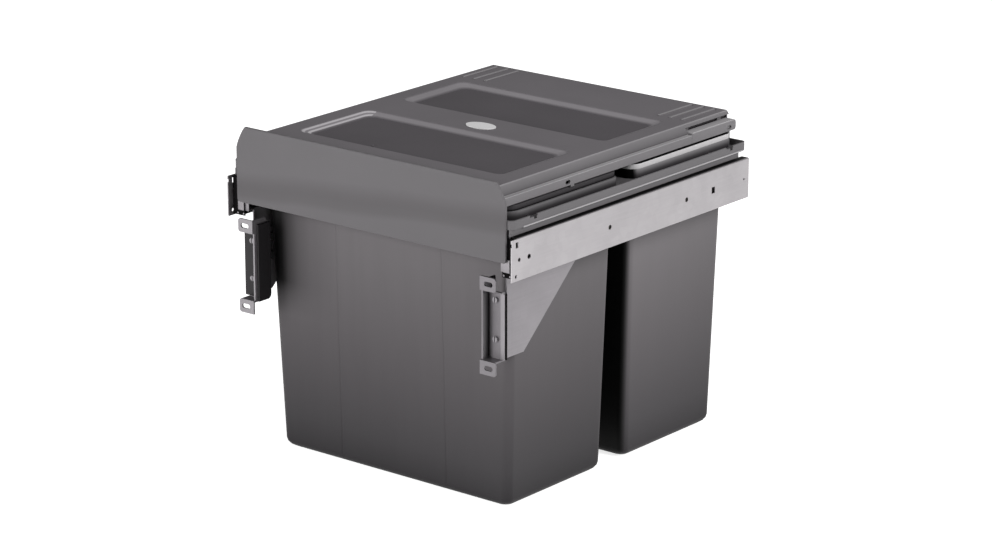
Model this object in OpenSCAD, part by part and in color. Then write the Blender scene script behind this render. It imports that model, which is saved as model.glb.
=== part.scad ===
// Pull-out waste bin frame for a kitchen base cabinet. Two ball slides carry a tray
// with a front panel, two hanging buckets and a rear-hinged lid, and two brackets
// take the cabinet door. Depths are counted rearwards from the back of the door,
// heights from the bucket bottoms, and the finished part is centred front to back.

/* [Cabinet and slides] */
// Clear width between the cabinet sides, from rail face to rail face
cabinet_w = 418; // [390:1:520]
// Length of each slide rail
rail_len = 440; // [400:5:500]
// Rail front end, behind the back of the door
rail_front = 4; // [3.5:0.5:6]
// Height of the slide centre line above the bucket bottoms
slide_z = 305.5; // [290:0.5:330]
// Height of the cabinet rail
rail_h = 48; // [47:0.5:52]
// Thickness of the rail sheet
rail_sheet = 1.4; // [1.2:0.1:1.5]
// Radius of a bearing ball
ball_r = 2.2; // [2:0.05:2.3]
// Balls in each row
balls_per_row = 9; // [6:1:11]
// Length of a ball cage
cage_len = 180; // [150:5:200]
// Radius of the three cabinet screw holes in each rail
rail_hole_r = 2.75; // [2:0.05:3.2]
// Distance between the cabinet screw holes
rail_hole_pitch = 144; // [96:16:144]
// First cabinet screw hole, from the rail's front end
rail_hole_first = 30; // [26:1:37]
// Rail flanges and moving rails, behind the rail's front end
rail_setback = 12; // [10:1:16]

/* [Brackets] */
// Thickness of the bracket steel
steel_t = 2; // [1.5:0.1:2.5]
// Height of the lower door slot
slot_low_z = 179.8; // [165:0.2:185]
// Height between the lower and the upper door slots
slot_pitch = 96; // [90:1:100]
// Distance of the door slots in from the cabinet side
slot_inset = 29.5; // [27:0.5:34]
// End-to-end length of a door slot
slot_len = 12; // [9:0.5:13]
// Half the width of a door slot
slot_r = 2.75; // [2:0.05:3]
// Height of a door tab
tab_h = 16; // [14:0.5:18]
// Width of a door tab, outside the bracket wall
tab_w = 20; // [18:0.5:22]
// Corner radius of a door tab
tab_r = 3; // [1:0.5:4]
// Width of the gusset's foot
gusset_foot = 29; // [24:1:34]
// Gusset bolts, behind the gusset's front edge
bolt_inset = 25; // [20:1:27]
// Step between the slide plate and the gusset
gusset_step = 10; // [8:0.5:11]

/* [Tray and front panel] */
// Front panel face, behind the back of the door
panel_front = 7.5; // [7:0.5:9]
// Thickness of the front panel
panel_t = 2.8; // [2.6:0.1:3.2]
// Height of the front panel
panel_h = 90; // [80:1:95]
// Tray wall, in from the cabinet side
tray_inset = 4.5; // [3:0.5:6]
// Thickness of the tray walls
tray_wall = 2; // [1.6:0.1:2.4]
// Thickness of the tray shelf
shelf_t = 2.5; // [2:0.1:3]
// Height of the tray wall above its shelf
tray_wall_h = 7.6; // [6:0.2:9]
// Height of the skirt below the shelf
skirt_h = 7.5; // [6:0.5:9]
// Width of the open channel between the tray wall and the bucket rim
channel_w = 14; // [12:0.5:16]
// Tray shelf in front of the front bucket
border_front = 26; // [24:1:32]
// Tray shelf behind the rear bucket
border_rear = 7.5; // [6:0.5:10]
// Tray bar between the buckets
divider_w = 25; // [22:1:30]

/* [Buckets] */
// Width of the bucket rim beyond the bucket wall, at the sides
rim_side = 7; // [6:0.5:9]
// Bucket wall thickness
bucket_wall = 2.2; // [1.8:0.1:2.6]
// Play of a bucket in its tray opening
bucket_play = 2.2; // [1.5:0.1:3]
// Inward lean of the bucket sides, from rim to bottom
lean_side = 13; // [6:0.5:16]
// Inward lean of the bucket front, from rim to bottom
lean_front = 9; // [4:0.5:12]
// Inward lean of the bucket back, from rim to bottom
lean_back = 3; // [2:0.5:6]
// Corner radius of the buckets
bucket_corner = 10; // [8:1:16]
// Rounding of the bucket bottom edge
bucket_soft = 10; // [5:1:12]
// Height of the front bucket's rim
front_rim_h = 10.2; // [8:0.2:11]
// Height of the rear bucket's rim
rear_rim_h = 11.1; // [9.5:0.1:12]
// Thickness of the front bag ring
front_ring_t = 6.9; // [5:0.1:8]
// Thickness of the rear bag ring
rear_ring_t = 6; // [5:0.1:7]
// Width of the band of a bag ring
ring_band = 13; // [11:0.5:15]

/* [Lid] */
// Height of the lid's side flange
flange_h = 9.7; // [9:0.1:11]
// Height of the lid top above its flange
crown_h = 11; // [9:0.5:14]
// Width of the shoulder on top of the flange
shoulder_w = 5.5; // [5:0.1:7]
// Run of the sloping lid side
slope_run = 8; // [6:0.5:10]
// Thickness of the lid skin
lid_t = 2.2; // [1.8:0.1:2.6]
// Depth of the two sunken fields
field_depth = 5; // [3:0.5:6]
// Run of the sloping sides of a sunken field
field_slope = 12; // [10:1:18]
// Lid top beside the front field
front_field_side = 21.5; // [18:0.5:26]
// Lid top beside the rear field
rear_field_side = 20; // [17:1:26]
// Outermost grip rib, in from the edge of the lid top
rib_inset = 12; // [10:0.5:14]
// Distance between the grip ribs
rib_pitch = 16.5; // [14:0.5:18]
// Radius of a hinge pin
pin_r = 2; // [1.6:0.1:2.4]
// Radius of a hinge boss
boss_r = 4; // [3.6:0.1:4.5]
// Length of the hinge arms
arm_len = 82; // [66:4:102]
// Height of a hinge arm
arm_h = 12.6; // [11.4:0.1:13]
// Width of the oval badge
badge_w = 40; // [30:1:46]
// Depth of the oval badge
badge_d = 25; // [18:1:30]

/* [Hidden] */
$fn = 48;
eps = 0.01;
run_gap = 0.3;
fit_gap = 0.05;

// Widths from the middle plane outwards
half_w = cabinet_w / 2;
tray_hw = half_w - tray_inset;
rim_hw = tray_hw - tray_wall - channel_w;
bucket_hw = rim_hw - rim_side;
opening_hw = bucket_hw + bucket_play;
lid_hw = rim_hw;
crown_hw = lid_hw - shoulder_w - slope_run;

// Slide section: distances in from the cabinet side, and up from the centre line
groove = 0.4;
ball_u = 7.2;
race_r = ball_r + run_gap;
cage_t = 0.6;
outer_v = rail_h / 2;
outer_ball_v = outer_v - rail_sheet + groove - race_r;
middle_v = outer_ball_v - race_r + groove;
inner_ball_v = middle_v - rail_sheet + groove - race_r;
inner_v = inner_ball_v - race_r + groove;
outer_cage_u = rail_sheet + run_gap;
middle_u = outer_cage_u + cage_t + run_gap;
inner_cage_u = middle_u + rail_sheet + run_gap;
inner_tip_u = inner_cage_u + cage_t + run_gap;
inner_back_u = ball_u + ball_r + 2;
flange_tip_u = ball_u + ball_r + 1.2;
cage_tip_u = ball_u + ball_r + 0.6;
strip_t = 1.2;
plate_x = half_w - inner_back_u - steel_t;

// Depths
panel_back = panel_front + panel_t;
rail_rear = rail_front + rail_len;
tray_front = panel_back;
tray_rear = rail_rear + 0.5;
lid_rear = tray_rear + 0.5;
overall_d = lid_rear;
opening_len = (tray_rear - tray_front - border_front - divider_w - border_rear) / 2;
front_opening_y = tray_front + border_front;
rear_opening_y = front_opening_y + opening_len + divider_w;
bucket_len = opening_len - 2 * bucket_play;
cage_front = rail_front + (rail_len - cage_len) * 0.55;
inner_front = rail_front + rail_setback;

// Bucket rims, beyond the bucket wall at the front, at the divider and at the rear
rim_end = 11;
rim_divider = bucket_play + 1.3;
rim_rear = 1.8;
rim_rear_r = bucket_corner - 2;
ring_inner_r = 3;
front_ring_inset = 2.5;
lid_gap = 2.4;
rim_end_r = bucket_corner + 10;
rim_divider_r = bucket_corner + 5;
slice_t = 0.2;

// Heights
rail_top = slide_z + rail_h / 2;
skirt_z = rail_top + 1.5;
shelf_z = skirt_z + skirt_h;
shelf_top = shelf_z + shelf_t;
tray_top = shelf_top + tray_wall_h;
front_rim_top = shelf_top + front_rim_h;
rear_rim_top = shelf_top + rear_rim_h;
front_ring_top = front_rim_top + front_ring_t;
rear_ring_top = rear_rim_top + rear_ring_t;
lid_z = max(front_ring_top, rear_ring_top) + lid_gap;
flange_top = lid_z + flange_h;
lid_top = flange_top + crown_h;
slope_z = flange_top + 1.2;
panel_top = lid_top + 9;
panel_z = panel_top - panel_h;

// Lid and hinge
lid_front = panel_back + 1.5;
hinge_y = lid_rear - boss_r;
hinge_z = lid_z + boss_r + 0.5;
slope_foot_x = lid_hw - shoulder_w;
arm_front = hinge_y - arm_len;
lid_cut_x = crown_hw + 1.2;
arm_x = crown_hw + 1.8;
slot_top = min(lid_z + arm_h + 3.9, lid_top - lid_t - 1.2);
arm_top = min(lid_z + arm_h, slot_top - 2.5);
ear_t = 4;
ear_x = crown_hw + 3.5;
boss_x = ear_x + ear_t + 0.5;
boss_clear_y = hinge_y - boss_r - 5;
lid_len = lid_rear - lid_front;

// The two links below the lid skin that carry each hinge arm, and the wall beside them
link_len = 8;
pocket_t = 1.6;
link_x = crown_hw - 2.6;
link_ys = [arm_front + 1, boss_clear_y - link_len];

// The sunken fields: front edge, depth and half width of each
fields = [
    [lid_front + lid_len * 0.104, lid_len * 0.297, crown_hw - front_field_side],
    [lid_front + lid_len * 0.527, lid_len * 0.2735, crown_hw - rear_field_side]
];
badge_y = lid_front + lid_len * 0.4506;
peg_y = lid_front + lid_len * 0.28;
rib_xs = [for (k = [0:2]) crown_hw - rib_inset - k * rib_pitch];
rib_len = arm_len * 0.78;
rib_y = lid_rear - 8 - rib_len;
rib_w = 2.6;

// Door bracket
slot_x = half_w - slot_inset;
slot_high_z = slot_low_z + slot_pitch;
wall_x = slot_x - tab_w / 2 - steel_t;
wall_front = 3;
wall_rear = 27;
web_y = 14;
tab_top_z = slot_high_z + tab_h / 2;
tab_bottom_z = slot_low_z - tab_h / 2;
foot_z = slot_low_z + tab_h / 2 - steel_t;
web_top_z = slot_high_z - slot_pitch / 8;
gusset_x = plate_x - gusset_step;
gusset_z = foot_z + steel_t + run_gap;
gusset_front = web_y + 8.5;
gusset_toe = gusset_front + gusset_foot;
step_z = slide_z - inner_v - 4;
ledge_z = shelf_z - steel_t;
support_rear = rail_rear - 10;
bolt_grip = steel_t * 0.75;
screw_zs = [slot_high_z - slot_pitch * 0.21, slot_low_z + slot_pitch * 0.32];
bolt_y = gusset_front + bolt_inset;
bolt_zs = [slot_high_z - slot_pitch * 0.25, slot_high_z - slot_pitch * 0.48];
rivet_ys = [for (k = [0.14, 0.38, 0.66, 0.91]) rail_front + k * rail_len];
tray_screw_ys = [for (k = [0.12, 0.5, 0.88]) rail_front + k * rail_len];
tray_screw_x = (rim_hw + plate_x) / 2;
tray_screw_head_r = (plate_x - rim_hw) * 0.42;
latch_ys = [tray_front + rail_len * 0.07, tray_rear - rail_len * 0.09];
panel_screw_xs = [rim_hw * 0.32, rim_hw * 0.8];
panel_screw_z = shelf_top + 6.5;

// Moves a piece from door depths to the part's centred frame
module centred() translate([0, -overall_d / 2, 0]) children();

// A piece drawn on the right, kept there or mirrored to the left
module on_side(side) {
    if (side > 0) children();
    else mirror([1, 0, 0]) children();
}

// The same piece on both sides
module both_sides() {
    children();
    mirror([1, 0, 0]) children();
}

// A section drawn in width and height, run rearwards from a depth
module along_y(front, len) {
    translate([0, front + len, 0]) rotate([90, 0, 0]) linear_extrude(len) children();
}

// An outline drawn in depth and height, given a thickness across the width
module plate_yz(x, t) translate([x, 0, 0]) rotate([90, 0, 90]) linear_extrude(t) children();

// A round bar across the width
module bar_x(x, y, z, r, len) translate([x, y, z]) rotate([0, 90, 0]) cylinder(r = r, h = len);

// A round bar along the depth
module bar_y(x, y, z, r, len) translate([x, y, z]) rotate([-90, 0, 0]) cylinder(r = r, h = len);

// A rectangle with round corners, from a depth rearwards, its rear corners set apart if need be
module round_rect(hw, y, len, r, r_back = 0) {
    rb = r_back > 0 ? r_back : r;
    translate([-hw, y + r]) square([2 * hw, len - r - rb]);
    translate([-hw + r, y]) square([2 * (hw - r), r]);
    translate([-hw + rb, y + len - rb]) square([2 * (hw - rb), rb]);
    for (x = [-hw + r, hw - r]) translate([x, y + r]) circle(r);
    for (x = [-hw + rb, hw - rb]) translate([x, y + len - rb]) circle(rb);
}

// A slide channel in section: a web and two flanges that reach to the tip
module channel_section(web_u, tip_u, v, sheet, flange_t, flange_v) {
    left_u = min(web_u, tip_u);
    right_u = max(web_u + sheet, tip_u);
    translate([half_w - web_u - sheet, slide_z - v]) square([sheet, 2 * v]);
    for (c = [-flange_v, flange_v])
        translate([half_w - right_u, slide_z + c - flange_t / 2]) square([right_u - left_u, flange_t]);
}

// The ball tracks cut along both flanges of a slide channel
module race_section(v) {
    for (c = [-v, v]) translate([half_w - ball_u, slide_z + c]) circle(race_r);
}

// Slides
module cabinet_rail(side) color("gainsboro") on_side(side) difference() {
    along_y(rail_front, rail_len) difference() {
        channel_section(0, flange_tip_u, outer_v, rail_sheet, rail_sheet, outer_v - rail_sheet / 2);
        race_section(outer_ball_v);
    }
    through = rail_sheet + 2;
    hole_x = half_w - rail_sheet - 1;
    translate([half_w - flange_tip_u - 1, rail_front - 1, slide_z - outer_v - 1])
        cube([flange_tip_u + 1 - rail_sheet, rail_setback + 1, rail_h + 2]);
    window_w = 6.2;
    window_h = 7.6;
    for (k = [0:2])
        bar_x(hole_x, rail_front + rail_hole_first + k * rail_hole_pitch, slide_z, rail_hole_r, through);
    bar_x(hole_x, rail_front + 13, slide_z, 2.2, through);
    bar_x(hole_x, rail_front + 7.5, slide_z - 18, 2, through);
    bar_x(hole_x, rail_rear - 9.5, slide_z, 1.3, through);
    translate([hole_x, rail_front + 7, slide_z + 14]) cube([through, 4.4, 6.4]);
    translate([hole_x, rail_rear - rail_len / 6, slide_z - window_h / 2])
        cube([through, window_w, window_h]);
    translate([hole_x, rail_front - 1, slide_z + 16]) cube([through, 2.4, 4]);
}

module middle_rail(side) color("silver") on_side(side)
    along_y(inner_front, rail_rear - inner_front) difference() {
        channel_section(middle_u, flange_tip_u, middle_v, rail_sheet, rail_sheet,
            middle_v - rail_sheet / 2);
        race_section(outer_ball_v);
        race_section(inner_ball_v);
    }

module inner_rail(side) color("silver") on_side(side) difference() {
    along_y(inner_front, rail_rear - inner_front) difference() {
        channel_section(inner_back_u - rail_sheet, inner_tip_u, inner_v, rail_sheet, rail_sheet,
            inner_v - rail_sheet / 2);
        race_section(inner_ball_v);
    }
    for (y = rivet_ys)
        bar_x(half_w - inner_back_u - 1, y, slide_z, pin_r + fit_gap, rail_sheet + 2);
}

// A ball cage: a thin channel with a round window for each ball
module ball_cage(side, web_u, v) color("goldenrod") on_side(side) difference() {
    along_y(cage_front, cage_len)
        channel_section(web_u, cage_tip_u, v + strip_t / 2, cage_t, strip_t, v);
    for_each_ball(v) cylinder(r = ball_r + fit_gap, h = 2 * strip_t, center = true);
}

module ball_rows(side, v) color("lightgray") on_side(side) for_each_ball(v) sphere(ball_r);

module for_each_ball(v) {
    pitch = cage_len / balls_per_row;
    for (k = [0:balls_per_row - 1], c = [-v, v])
        translate([half_w - ball_u, cage_front + (k + 0.5) * pitch, slide_z + c]) children();
}

// The black buffer plugged into the front of the inner rail, whose plate meets the rail ends
module slide_buffer(side) color("black") on_side(side) {
    plug_u = inner_tip_u + 0.2;
    plug_w = inner_back_u - rail_sheet - 0.2 - plug_u;
    plug_v = inner_v - rail_sheet - 0.2;
    plate_u = rail_sheet + 0.6;
    plate_v = outer_v - 1.8;
    translate([half_w - plug_u - plug_w, inner_front - 2.8, slide_z - plug_v])
        cube([plug_w, 12, plug_v]);
    translate([half_w - flange_tip_u, inner_front - 2.8, slide_z - plate_v])
        cube([flange_tip_u - plate_u, 2.4, 2 * plate_v]);
    shield_y = max(inner_front - 4.2, panel_back + run_gap);
    for (part = [[plate_x + 0.4, 2 * plate_v], [plate_x - 6, 6]])
        translate([part[0], shield_y, slide_z - plate_v])
            cube([half_w - plate_u - part[0], inner_front - 2.8 + eps - shield_y, part[1]]);
}

// Brackets: the plate riveted to the slide, with the ledge that carries the tray
module support_bracket(side) color("silver") on_side(side) {
    front = panel_back + run_gap;
    ledge_x = opening_hw + tray_wall + run_gap;
    difference() {
        plate_yz(plate_x, steel_t) translate([web_y, step_z])
            square([support_rear - web_y, ledge_z - step_z]);
        for (y = rivet_ys) bar_x(plate_x - 1, y, slide_z, pin_r + fit_gap, steel_t + 2);
    }
    difference() {
        translate([ledge_x, front, ledge_z])
            cube([plate_x + steel_t - ledge_x, support_rear - front, steel_t]);
        for (y = tray_screw_ys)
            translate([tray_screw_x, y, ledge_z - 1]) cylinder(r = pin_r - 0.2, h = steel_t + 2);
    }
}

// The gusset welded to the plate: a sloping sheet, a step along its top and an upright in front
module support_gusset(side) color("lightgray") on_side(side) {
    step_top = step_z + steel_t;
    slope_end = gusset_toe + (step_top - gusset_z) / 0.91;
    translate([gusset_x, web_y, step_z]) cube([gusset_step, support_rear - web_y, steel_t]);
    translate([gusset_x, web_y, step_z]) cube([gusset_step, steel_t, ledge_z - step_z]);
    difference() {
        plate_yz(gusset_x, steel_t) polygon([
            [gusset_front, gusset_z], [gusset_toe, gusset_z], [slope_end, step_top],
            [gusset_front, step_top]
        ]);
        for (z = bolt_zs) bar_x(gusset_x - 1, bolt_y, z, pin_r + fit_gap, bolt_grip + 1);
    }
}

module slide_rivets() color("gray") both_sides() for (y = rivet_ys) {
    head_t = 1.2;
    bar_x(plate_x - head_t, y, slide_z, 3.4, head_t);
    bar_x(plate_x, y, slide_z, pin_r, steel_t + rail_sheet);
    bar_x(plate_x + steel_t + rail_sheet, y, slide_z, 3.4, head_t);
}

// A door tab with its slot, standing at the back of the door
module door_tab(z, low, high) {
    slot_run = slot_len / 2 - slot_r;
    difference() {
        union() {
            translate([wall_x, 0, low]) cube([tab_w + steel_t - tab_r, steel_t, high - low]);
            translate([wall_x, 0, low + tab_r]) cube([tab_w + steel_t, steel_t, high - low - 2 * tab_r]);
            for (c = [low + tab_r, high - tab_r])
                bar_y(wall_x + tab_w + steel_t - tab_r, 0, c, tab_r, steel_t);
        }
        for (x = [-slot_run, slot_run]) bar_y(slot_x + x, -1, z, slot_r, steel_t + 2);
        translate([slot_x - slot_run, -1, z - slot_r]) cube([2 * slot_run, steel_t + 2, 2 * slot_r]);
    }
}

// The channel behind the door: a wall with two tabs, a foot and a web that takes the screws
module door_bracket(side) color("gainsboro") on_side(side) {
    arm_low = tab_top_z - tab_h;
    corner = 6;
    door_tab(slot_high_z, arm_low, tab_top_z);
    door_tab(slot_low_z, tab_bottom_z, foot_z + steel_t);
    plate_yz(wall_x, steel_t) polygon([
        [0, arm_low], [wall_front, arm_low], [wall_front, foot_z], [wall_rear - corner, foot_z],
        [wall_rear, foot_z + corner], [wall_rear, tab_top_z - corner], [wall_rear - corner, tab_top_z],
        [0, tab_top_z]
    ]);
    translate([wall_x, 0, foot_z]) cube([gusset_x + steel_t - wall_x, wall_rear - corner, steel_t]);
    difference() {
        translate([wall_x, web_y, foot_z]) cube([gusset_x - wall_x, steel_t, web_top_z - foot_z]);
        for (z = screw_zs) bar_y(slot_x, web_y - 1, z, pin_r + fit_gap, steel_t + 2);
    }
}

// The angle between the door bracket's web and the inner face of the gusset
module bracket_angle(side) color("silver") on_side(side) {
    back = web_y + steel_t;
    low = slot_low_z + 18;
    inner_x = wall_x + steel_t + 0.5;
    difference() {
        translate([inner_x, back, low]) cube([gusset_x - inner_x, steel_t, web_top_z - low]);
        for (z = screw_zs) bar_y(slot_x, back - 1, z, pin_r + fit_gap, steel_t + 2);
    }
    difference() {
        translate([gusset_x - steel_t, back, low])
            cube([steel_t, bolt_y + 10 - back, web_top_z - low]);
        for (z = bolt_zs) bar_x(gusset_x - steel_t - 1, bolt_y, z, pin_r + fit_gap, steel_t + 2);
    }
}

// The dark cover clipped on the bucket side of the bracket wall
module adjuster_cover(side) color("dimgray") on_side(side) {
    cover_t = 2.5;
    front = wall_front + 4;
    rear = wall_rear + 1;
    low = foot_z;
    high = tab_top_z - 6;
    corner = 6;
    plate_yz(wall_x - cover_t, cover_t) {
        translate([front, low]) square([rear - front - corner, high - low]);
        translate([front, low + corner]) square([rear - front, high - low - corner]);
        translate([rear - corner, low + corner]) circle(corner);
    }
}

// A screw head with a driver slot, and its shank
module adjusting_screws() color("lightgray") both_sides() for (z = screw_zs) {
    head_t = 3;
    head_r = pin_r * 1.6;
    bar_y(slot_x, web_y, z, pin_r, 2 * steel_t + 4);
    difference() {
        bar_y(slot_x, web_y - head_t, z, head_r, head_t);
        translate([slot_x - 0.6, web_y - head_t - 1, z - head_r - 1]) cube([1.2, 2.2, 2 * head_r + 2]);
    }
}

module bracket_bolts() color("gray") both_sides() for (z = bolt_zs) {
    head_t = 3;
    bar_x(gusset_x - steel_t - head_t, bolt_y, z, 4, head_t);
    bar_x(gusset_x - steel_t, bolt_y, z, pin_r, steel_t + bolt_grip - fit_gap);
}

// Tray
module tray_frame() color("dimgray") {
    corner = 6;
    collar_h = 10;
    opening_r = bucket_corner + bucket_play;
    ear_front = hinge_y - boss_r;
    difference() {
        union() {
            translate([0, 0, shelf_z]) linear_extrude(shelf_top - shelf_z)
                round_rect(tray_hw, tray_front, tray_rear - tray_front, corner);
            translate([0, 0, shelf_z]) linear_extrude(tray_top - shelf_z) difference() {
                round_rect(tray_hw, tray_front, tray_rear - tray_front, corner);
                round_rect(tray_hw - tray_wall, tray_front + tray_wall,
                    tray_rear - tray_front - 2 * tray_wall, corner - tray_wall);
            }
            for (y = [front_opening_y, rear_opening_y])
                translate([0, 0, shelf_z - collar_h]) linear_extrude(collar_h)
                    round_rect(opening_hw + tray_wall, y - tray_wall, opening_len + 2 * tray_wall,
                        opening_r + tray_wall);
            both_sides() translate([tray_hw - tray_wall - 2.5, tray_front, skirt_z])
                cube([tray_wall, tray_rear - tray_front - 12, skirt_h]);
            translate([-rim_hw, tray_front, shelf_z])
                cube([2 * rim_hw, tray_wall, lid_z - 4 - shelf_z]);
        }
        for (y = [front_opening_y, rear_opening_y])
            translate([0, 0, shelf_z - collar_h - 1]) linear_extrude(collar_h + lid_z - shelf_z)
                round_rect(opening_hw, y, opening_len, opening_r);
        for (y = latch_ys)
            both_sides() translate([tray_hw - tray_wall - 1, y, tray_top]) {
                translate([0, 0, -2.2]) cube([tray_wall + 2, 13, 4]);
                translate([0, 7, -5]) cube([tray_wall + 2, 5, 4]);
            }
        both_sides() for (y = tray_screw_ys)
            translate([tray_screw_x, y, shelf_z - 1]) cylinder(r = pin_r - 0.2, h = shelf_t + 2);
        both_sides() for (x = panel_screw_xs)
            bar_y(x, tray_front - 1, panel_screw_z, pin_r - 0.4, tray_wall + 2);
    }
    both_sides() difference() {
        union() {
            translate([ear_x, ear_front, shelf_top - eps])
                cube([ear_t, boss_r + 0.5, hinge_z - shelf_top]);
            bar_x(ear_x, hinge_y, hinge_z, boss_r - run_gap, ear_t);
        }
        bar_x(ear_x - 1, hinge_y, hinge_z, pin_r + fit_gap, ear_t + 2);
    }
}

module tray_screws() color("lightgray") both_sides() for (y = tray_screw_ys)
    translate([tray_screw_x, y, shelf_top]) {
        cylinder(r = tray_screw_head_r, h = 2);
        translate([0, 0, -shelf_t - steel_t - 4]) cylinder(r = pin_r - 0.25, h = shelf_t + steel_t + 4);
    }

// Front panel, its top corners eased by a curve straighter than an oval
module front_panel() color("gray") {
    hw = half_w - inner_back_u - 0.2;
    ease_w = 14;
    ease_h = 26;
    foot_r = 4;
    lean = 1.6;
    ease = [for (a = [0:9:90])
        [hw - ease_w + ease_w * pow(cos(a), lean), panel_top - ease_h + ease_h * pow(sin(a), lean)]];
    difference() {
        along_y(panel_front, panel_t) {
            both_sides()
                polygon(concat([[0, panel_z + foot_r], [hw, panel_z + foot_r]], ease, [[0, panel_top]]));
            translate([-hw + foot_r, panel_z]) square([2 * (hw - foot_r), foot_r + eps]);
            for (x = [-hw + foot_r, hw - foot_r]) translate([x, panel_z + foot_r]) circle(foot_r);
        }
        both_sides() for (x = panel_screw_xs)
            bar_y(x, panel_back - 1.6, panel_screw_z, pin_r - 0.5, 3);
    }
    translate([-rim_hw + 10, panel_back, lid_z - run_gap - 3]) cube([2 * (rim_hw - 10), 5, 3]);
}

module panel_screws() color("lightgray") both_sides() for (x = panel_screw_xs) {
    bar_y(x, tray_front - 1.6, panel_screw_z, pin_r - 0.5 - fit_gap, tray_wall + 1.6);
    bar_y(x, tray_front + tray_wall, panel_screw_z, 3, 2);
}

// A thin level slice of a bucket at a height, drawn in all round and by the wall's lean there
module bucket_slice(y, z, draw_in, r) {
    lean = 1 - z / shelf_top;
    front = draw_in + lean_front * lean;
    back = draw_in + lean_back * lean;
    translate([0, 0, z]) linear_extrude(slice_t)
        round_rect(bucket_hw - draw_in - lean_side * lean, y + front, bucket_len - front - back, r,
            $fn = 32);
}

// A tapered bucket body up to a height, inset by a skin, with a round bottom edge
module bucket_body(y, z_low, z_high, skin) {
    r = bucket_corner - skin;
    hull() {
        for (a = [0:22.5:90])
            bucket_slice(y, z_low + bucket_soft * (1 - cos(a)), skin + bucket_soft * (1 - sin(a)), r);
        bucket_slice(y, z_high - slice_t, skin, r);
    }
}

// A level outline round a bucket, grown at the sides, front and back, with its corners
module rim_outline(y, front, back, r_front, r_back, inset = 0) {
    round_rect(rim_hw - inset, y + bucket_play - front, bucket_len + front + back, r_front, r_back);
}

module bucket(y, rim_h, front, back, r_front, r_back) {
    wall_y = y + bucket_play;
    difference() {
        union() {
            bucket_body(wall_y, 0, shelf_top + rim_h / 2, 0);
            translate([0, 0, shelf_top]) linear_extrude(rim_h) rim_outline(y, front, back, r_front, r_back);
        }
        bucket_body(wall_y, bucket_wall, shelf_top + rim_h + 1, bucket_wall);
    }
}

module front_bucket() color("dimgray")
    bucket(front_opening_y, front_rim_h, rim_end, rim_divider, rim_end_r, rim_divider_r);

module rear_bucket() color("dimgray")
    bucket(rear_opening_y, rear_rim_h, rim_divider, rim_rear, rim_divider_r, rim_rear_r);

// A bag ring: the flat band that holds the waste bag on a bucket rim
module bag_ring(y, z, t, front, back, r_front, r_back, inset = 0) {
    translate([0, 0, z]) linear_extrude(t) difference() {
        rim_outline(y, front, back, r_front, r_back, inset);
        round_rect(rim_hw - ring_band, y + bucket_play - front + ring_band,
            bucket_len + front + back - 2 * ring_band, ring_inner_r);
    }
}

module front_bag_ring() color("dimgray") bag_ring(front_opening_y, front_rim_top, front_ring_t,
    rim_end + 3, rim_divider, rim_end_r, rim_divider_r, front_ring_inset);

module rear_bag_ring() color("lightgray") bag_ring(rear_opening_y, rear_rim_top, rear_ring_t,
    rim_divider, rim_rear, rim_divider_r, rim_rear_r);

// The half section of the lid skin, inset by a thickness
module lid_half_section(skin) {
    polygon([
        [-eps, lid_top - skin], [crown_hw - skin * 0.5, lid_top - skin],
        [slope_foot_x - skin, slope_z - skin * 0.4], [slope_foot_x - skin, flange_top - skin],
        [lid_hw - skin, flange_top - skin], [lid_hw - skin, lid_z], [-eps, lid_z]
    ]);
}

// A sunken field, with sloping sides between its top outline and its floor
module field_pan(f, skin) {
    top_y = f[0] - skin;
    top_len = f[1] + 2 * skin;
    top_hw = f[2] + skin;
    r = 11;
    side_slope = field_slope + 3.5;
    hull() {
        translate([0, 0, lid_top - (skin > 0 ? eps : -1)]) linear_extrude(eps)
            round_rect(top_hw, top_y, top_len, r);
        translate([0, 0, lid_top - field_depth - skin]) linear_extrude(eps)
            round_rect(top_hw - side_slope, top_y + field_slope, top_len - 2 * field_slope, r);
    }
}

module lid_cover() color("dimgray") {
    difference() {
        union() {
            difference() {
                along_y(lid_front, lid_len) both_sides() lid_half_section(0);
                along_y(lid_front + lid_t, lid_len - lid_t + 1) both_sides() lid_half_section(lid_t);
                translate([-lid_hw, lid_front + lid_t, lid_z - 1])
                    cube([2 * lid_hw, lid_len, 1 + eps]);
            }
            for (f = fields) field_pan(f, lid_t);
            both_sides() for (y = link_ys) translate([link_x, y, lid_z + 3])
                cube([lid_cut_x - link_x, link_len, lid_top - lid_z - 3 - lid_t / 2]);
            both_sides() translate([link_x, arm_front + 1, lid_z + 3])
                cube([pocket_t, lid_rear - lid_t / 2 - arm_front - 1, lid_top - lid_z - 3 - lid_t / 2]);
            translate([-lid_cut_x, lid_rear - lid_t, lid_z + 3])
                cube([2 * lid_cut_x, lid_t, lid_top - lid_z - 3 - lid_t / 2]);
        }
        for (f = fields) field_pan(f, 0);
        both_sides() {
            translate([lid_cut_x, arm_front - run_gap, lid_z - 1])
                cube([lid_hw - lid_cut_x + 1, arm_len + 20, slot_top - lid_z + 1]);
            for (y = [peg_y - 7, peg_y - 3.5]) bar_x(lid_hw - lid_t - 1, y, lid_z + 4.2, 2.4, lid_t + 2);
            for (x = rib_xs) translate([x + rib_w / 2 - eps, rib_y, lid_top - 0.8]) cube([2, rib_len, 2]);
        }
    }
    both_sides() for (y = link_ys) translate([link_x, y, lid_z + 3])
        cube([arm_x - link_x, link_len, flange_top - lid_z - 3]);
    both_sides() {
        translate([lid_hw - 4, peg_y, front_ring_top + run_gap])
            cube([4, 6, lid_z - front_ring_top - run_gap + 2]);
        for (x = rib_xs)
            translate([x - rib_w / 2, rib_y, lid_top - eps]) cube([rib_w, rib_len, 1.2]);
    }
}

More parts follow.
